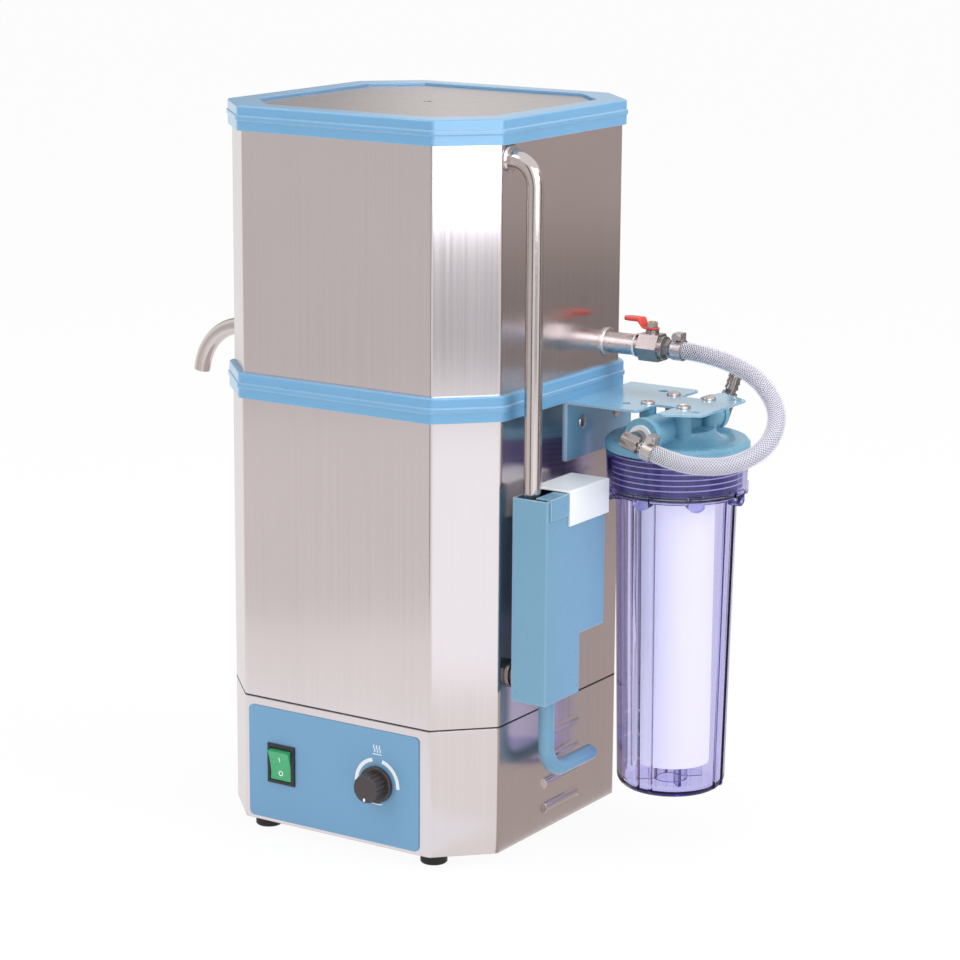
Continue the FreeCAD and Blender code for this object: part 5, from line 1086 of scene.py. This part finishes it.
# %% Upright cards and floor cards
def upright_card(name, shade, turn_degrees, distance, width, low, high, stops, graded_up=True):
    """Card that faces the still, turn_degrees round from the front, between two heights.  Its
    glow is graded from bottom to top, or from its left end to its right, seen from the still."""
    turn = math.radians(turn_degrees)
    middle = np.array([math.sin(turn), -math.cos(turn), 0.0]) * distance
    beside = np.array([math.cos(turn), math.sin(turn), 0.0])
    ends = [middle - beside * width / 2, middle + beside * width / 2]
    card = flat_sheet(name, [(*end[:2], z) for end, z in zip(ends + ends[::-1], (low, low, high, high))])
    if graded_up:
        stops = [((z - low) / (high - low), strength) for z, strength in stops]
        finish = graded_glow(name + "_glow", shade, (0, 0, 1), low, high, stops)
    else:
        finish = graded_glow(name + "_glow", shade, tuple(beside), -width / 2, width / 2, stops)
    card.data.materials.append(finish)
    only_reflected(card)


def floor_card(name, shade, x_range, y_range, strength):
    """Card that lies on the floor and shows in the foot of the steel."""
    (x_low, x_high), (y_low, y_high) = x_range, y_range
    z = FLOOR_Z + MM
    card = flat_sheet(name, [(x_low, y_low, z), (x_high, y_low, z), (x_high, y_high, z),
                             (x_low, y_high, z)])
    card.data.materials.append(graded_glow(name + "_glow", shade, (1, 0, 0), x_low, x_high,
                                           [(0, strength), (1, strength)]))
    only_reflected(card)


print("card tools ready")

# %% [markdown]
# The front card shows in the front wall, and the right and side cards in the right-hand wall.  The
# edge card is nearly white, for the bright cut corner between them, and the gap card is the dark
# line beside it.  The card behind shows in the lid, and the floor cards in the foot of the steel.

# %% Cards
NEUTRAL, COOL, WARM = "#FFFDFC", "#F6FAFF", "#FFF3EE"
CARD_TOP = 0.95
upright_card("card_front", NEUTRAL, -33, 0.75, 1.0, FLOOR_Z, CARD_TOP,
             [(FLOOR_Z, 0.83), (0.19, 0.83), (0.22, 0.695), (CARD_TOP, 0.695)])
upright_card("card_right", WARM, 147, 0.9, 1.2, FLOOR_Z, CARD_TOP,
             [(FLOOR_Z, 0.50), (0.12, 0.38), (0.20, 0.27), (0.29, 0.27), (0.38, 0.46), (CARD_TOP, 0.56)])
upright_card("card_edge", COOL, 57, 0.62, 0.30, FLOOR_Z, CARD_TOP,
             [(FLOOR_Z, 1.40), (0.22, 1.35), (0.26, 1.1), (0.30, 0.64), (0.42, 0.74), (0.43, 4.5),
              (CARD_TOP, 4.5)])
upright_card("card_gap", WARM, 10, 0.9, 0.22, FLOOR_Z, CARD_TOP, [(FLOOR_Z, 0.16), (CARD_TOP, 0.16)])
upright_card("card_side", WARM, 98, 0.8, 0.25, FLOOR_Z, CARD_TOP, [(FLOOR_Z, 0.16), (CARD_TOP, 0.16)])
upright_card("card_behind", NEUTRAL, 213, 1.5, 2.2, 0.60, 1.6,
             [(0, 0.60), (0.40, 0.60), (0.5, 0.78), (0.57, 0.42), (0.62, 0.38), (1, 0.38)], graded_up=False)
floor_card("card_floor_right", WARM, (0.14, 1.3), (-0.10, 1.4), 0.50)
floor_card("card_floor_front", COOL, (-0.5, 0.2), (-0.42, -0.14), 1.15)
print("cards ready")

# %% [markdown]
# Three lamps give the light that the cards leave out: a broad one from the front left, one from the
# right and one overhead, which stays out of the lid's reflections.  They are at a plain level, at
# which a colour renders about as it is written.

# %% Lamps
def soft_box(name, at, aim, width, height, watts):
    """Rectangular lamp at a point, turned to face another."""
    lamp = bpy.data.lights.new(name, "AREA")
    lamp.shape = "RECTANGLE"
    lamp.size, lamp.size_y, lamp.energy = width, height, watts
    box = bpy.data.objects.new(name, lamp)
    bpy.context.scene.collection.objects.link(box)
    away = np.array(at) - np.array(aim)
    away /= np.linalg.norm(away)
    beside = np.cross((0, 0, 1), away)
    beside /= np.linalg.norm(beside)
    place = np.eye(4)
    place[:3, 0], place[:3, 1], place[:3, 2], place[:3, 3] = beside, np.cross(away, beside), away, at
    box.matrix_world = Matrix(place.tolist())
    box.visible_camera = False
    return box


soft_box("key_lamp", at=(-1.3, -1.9, 2.3), aim=(0.0, 0.0, 0.25), width=1.6, height=1.6, watts=20)
soft_box("right_lamp", at=(2.2, 0.2, 1.6), aim=(0.1, 0.0, 0.3), width=1.2, height=1.2, watts=21)
top_lamp = soft_box("top_lamp", at=(0.4, 0.1, 2.4), aim=(0.05, 0.0, 0.3), width=1.4, height=1.4, watts=14)
top_lamp.visible_glossy = False
bpy.context.scene.view_settings.view_transform = "Standard"
print("lamps ready")

# %% [markdown]
# ## End

# %% Finish
print("scene built")
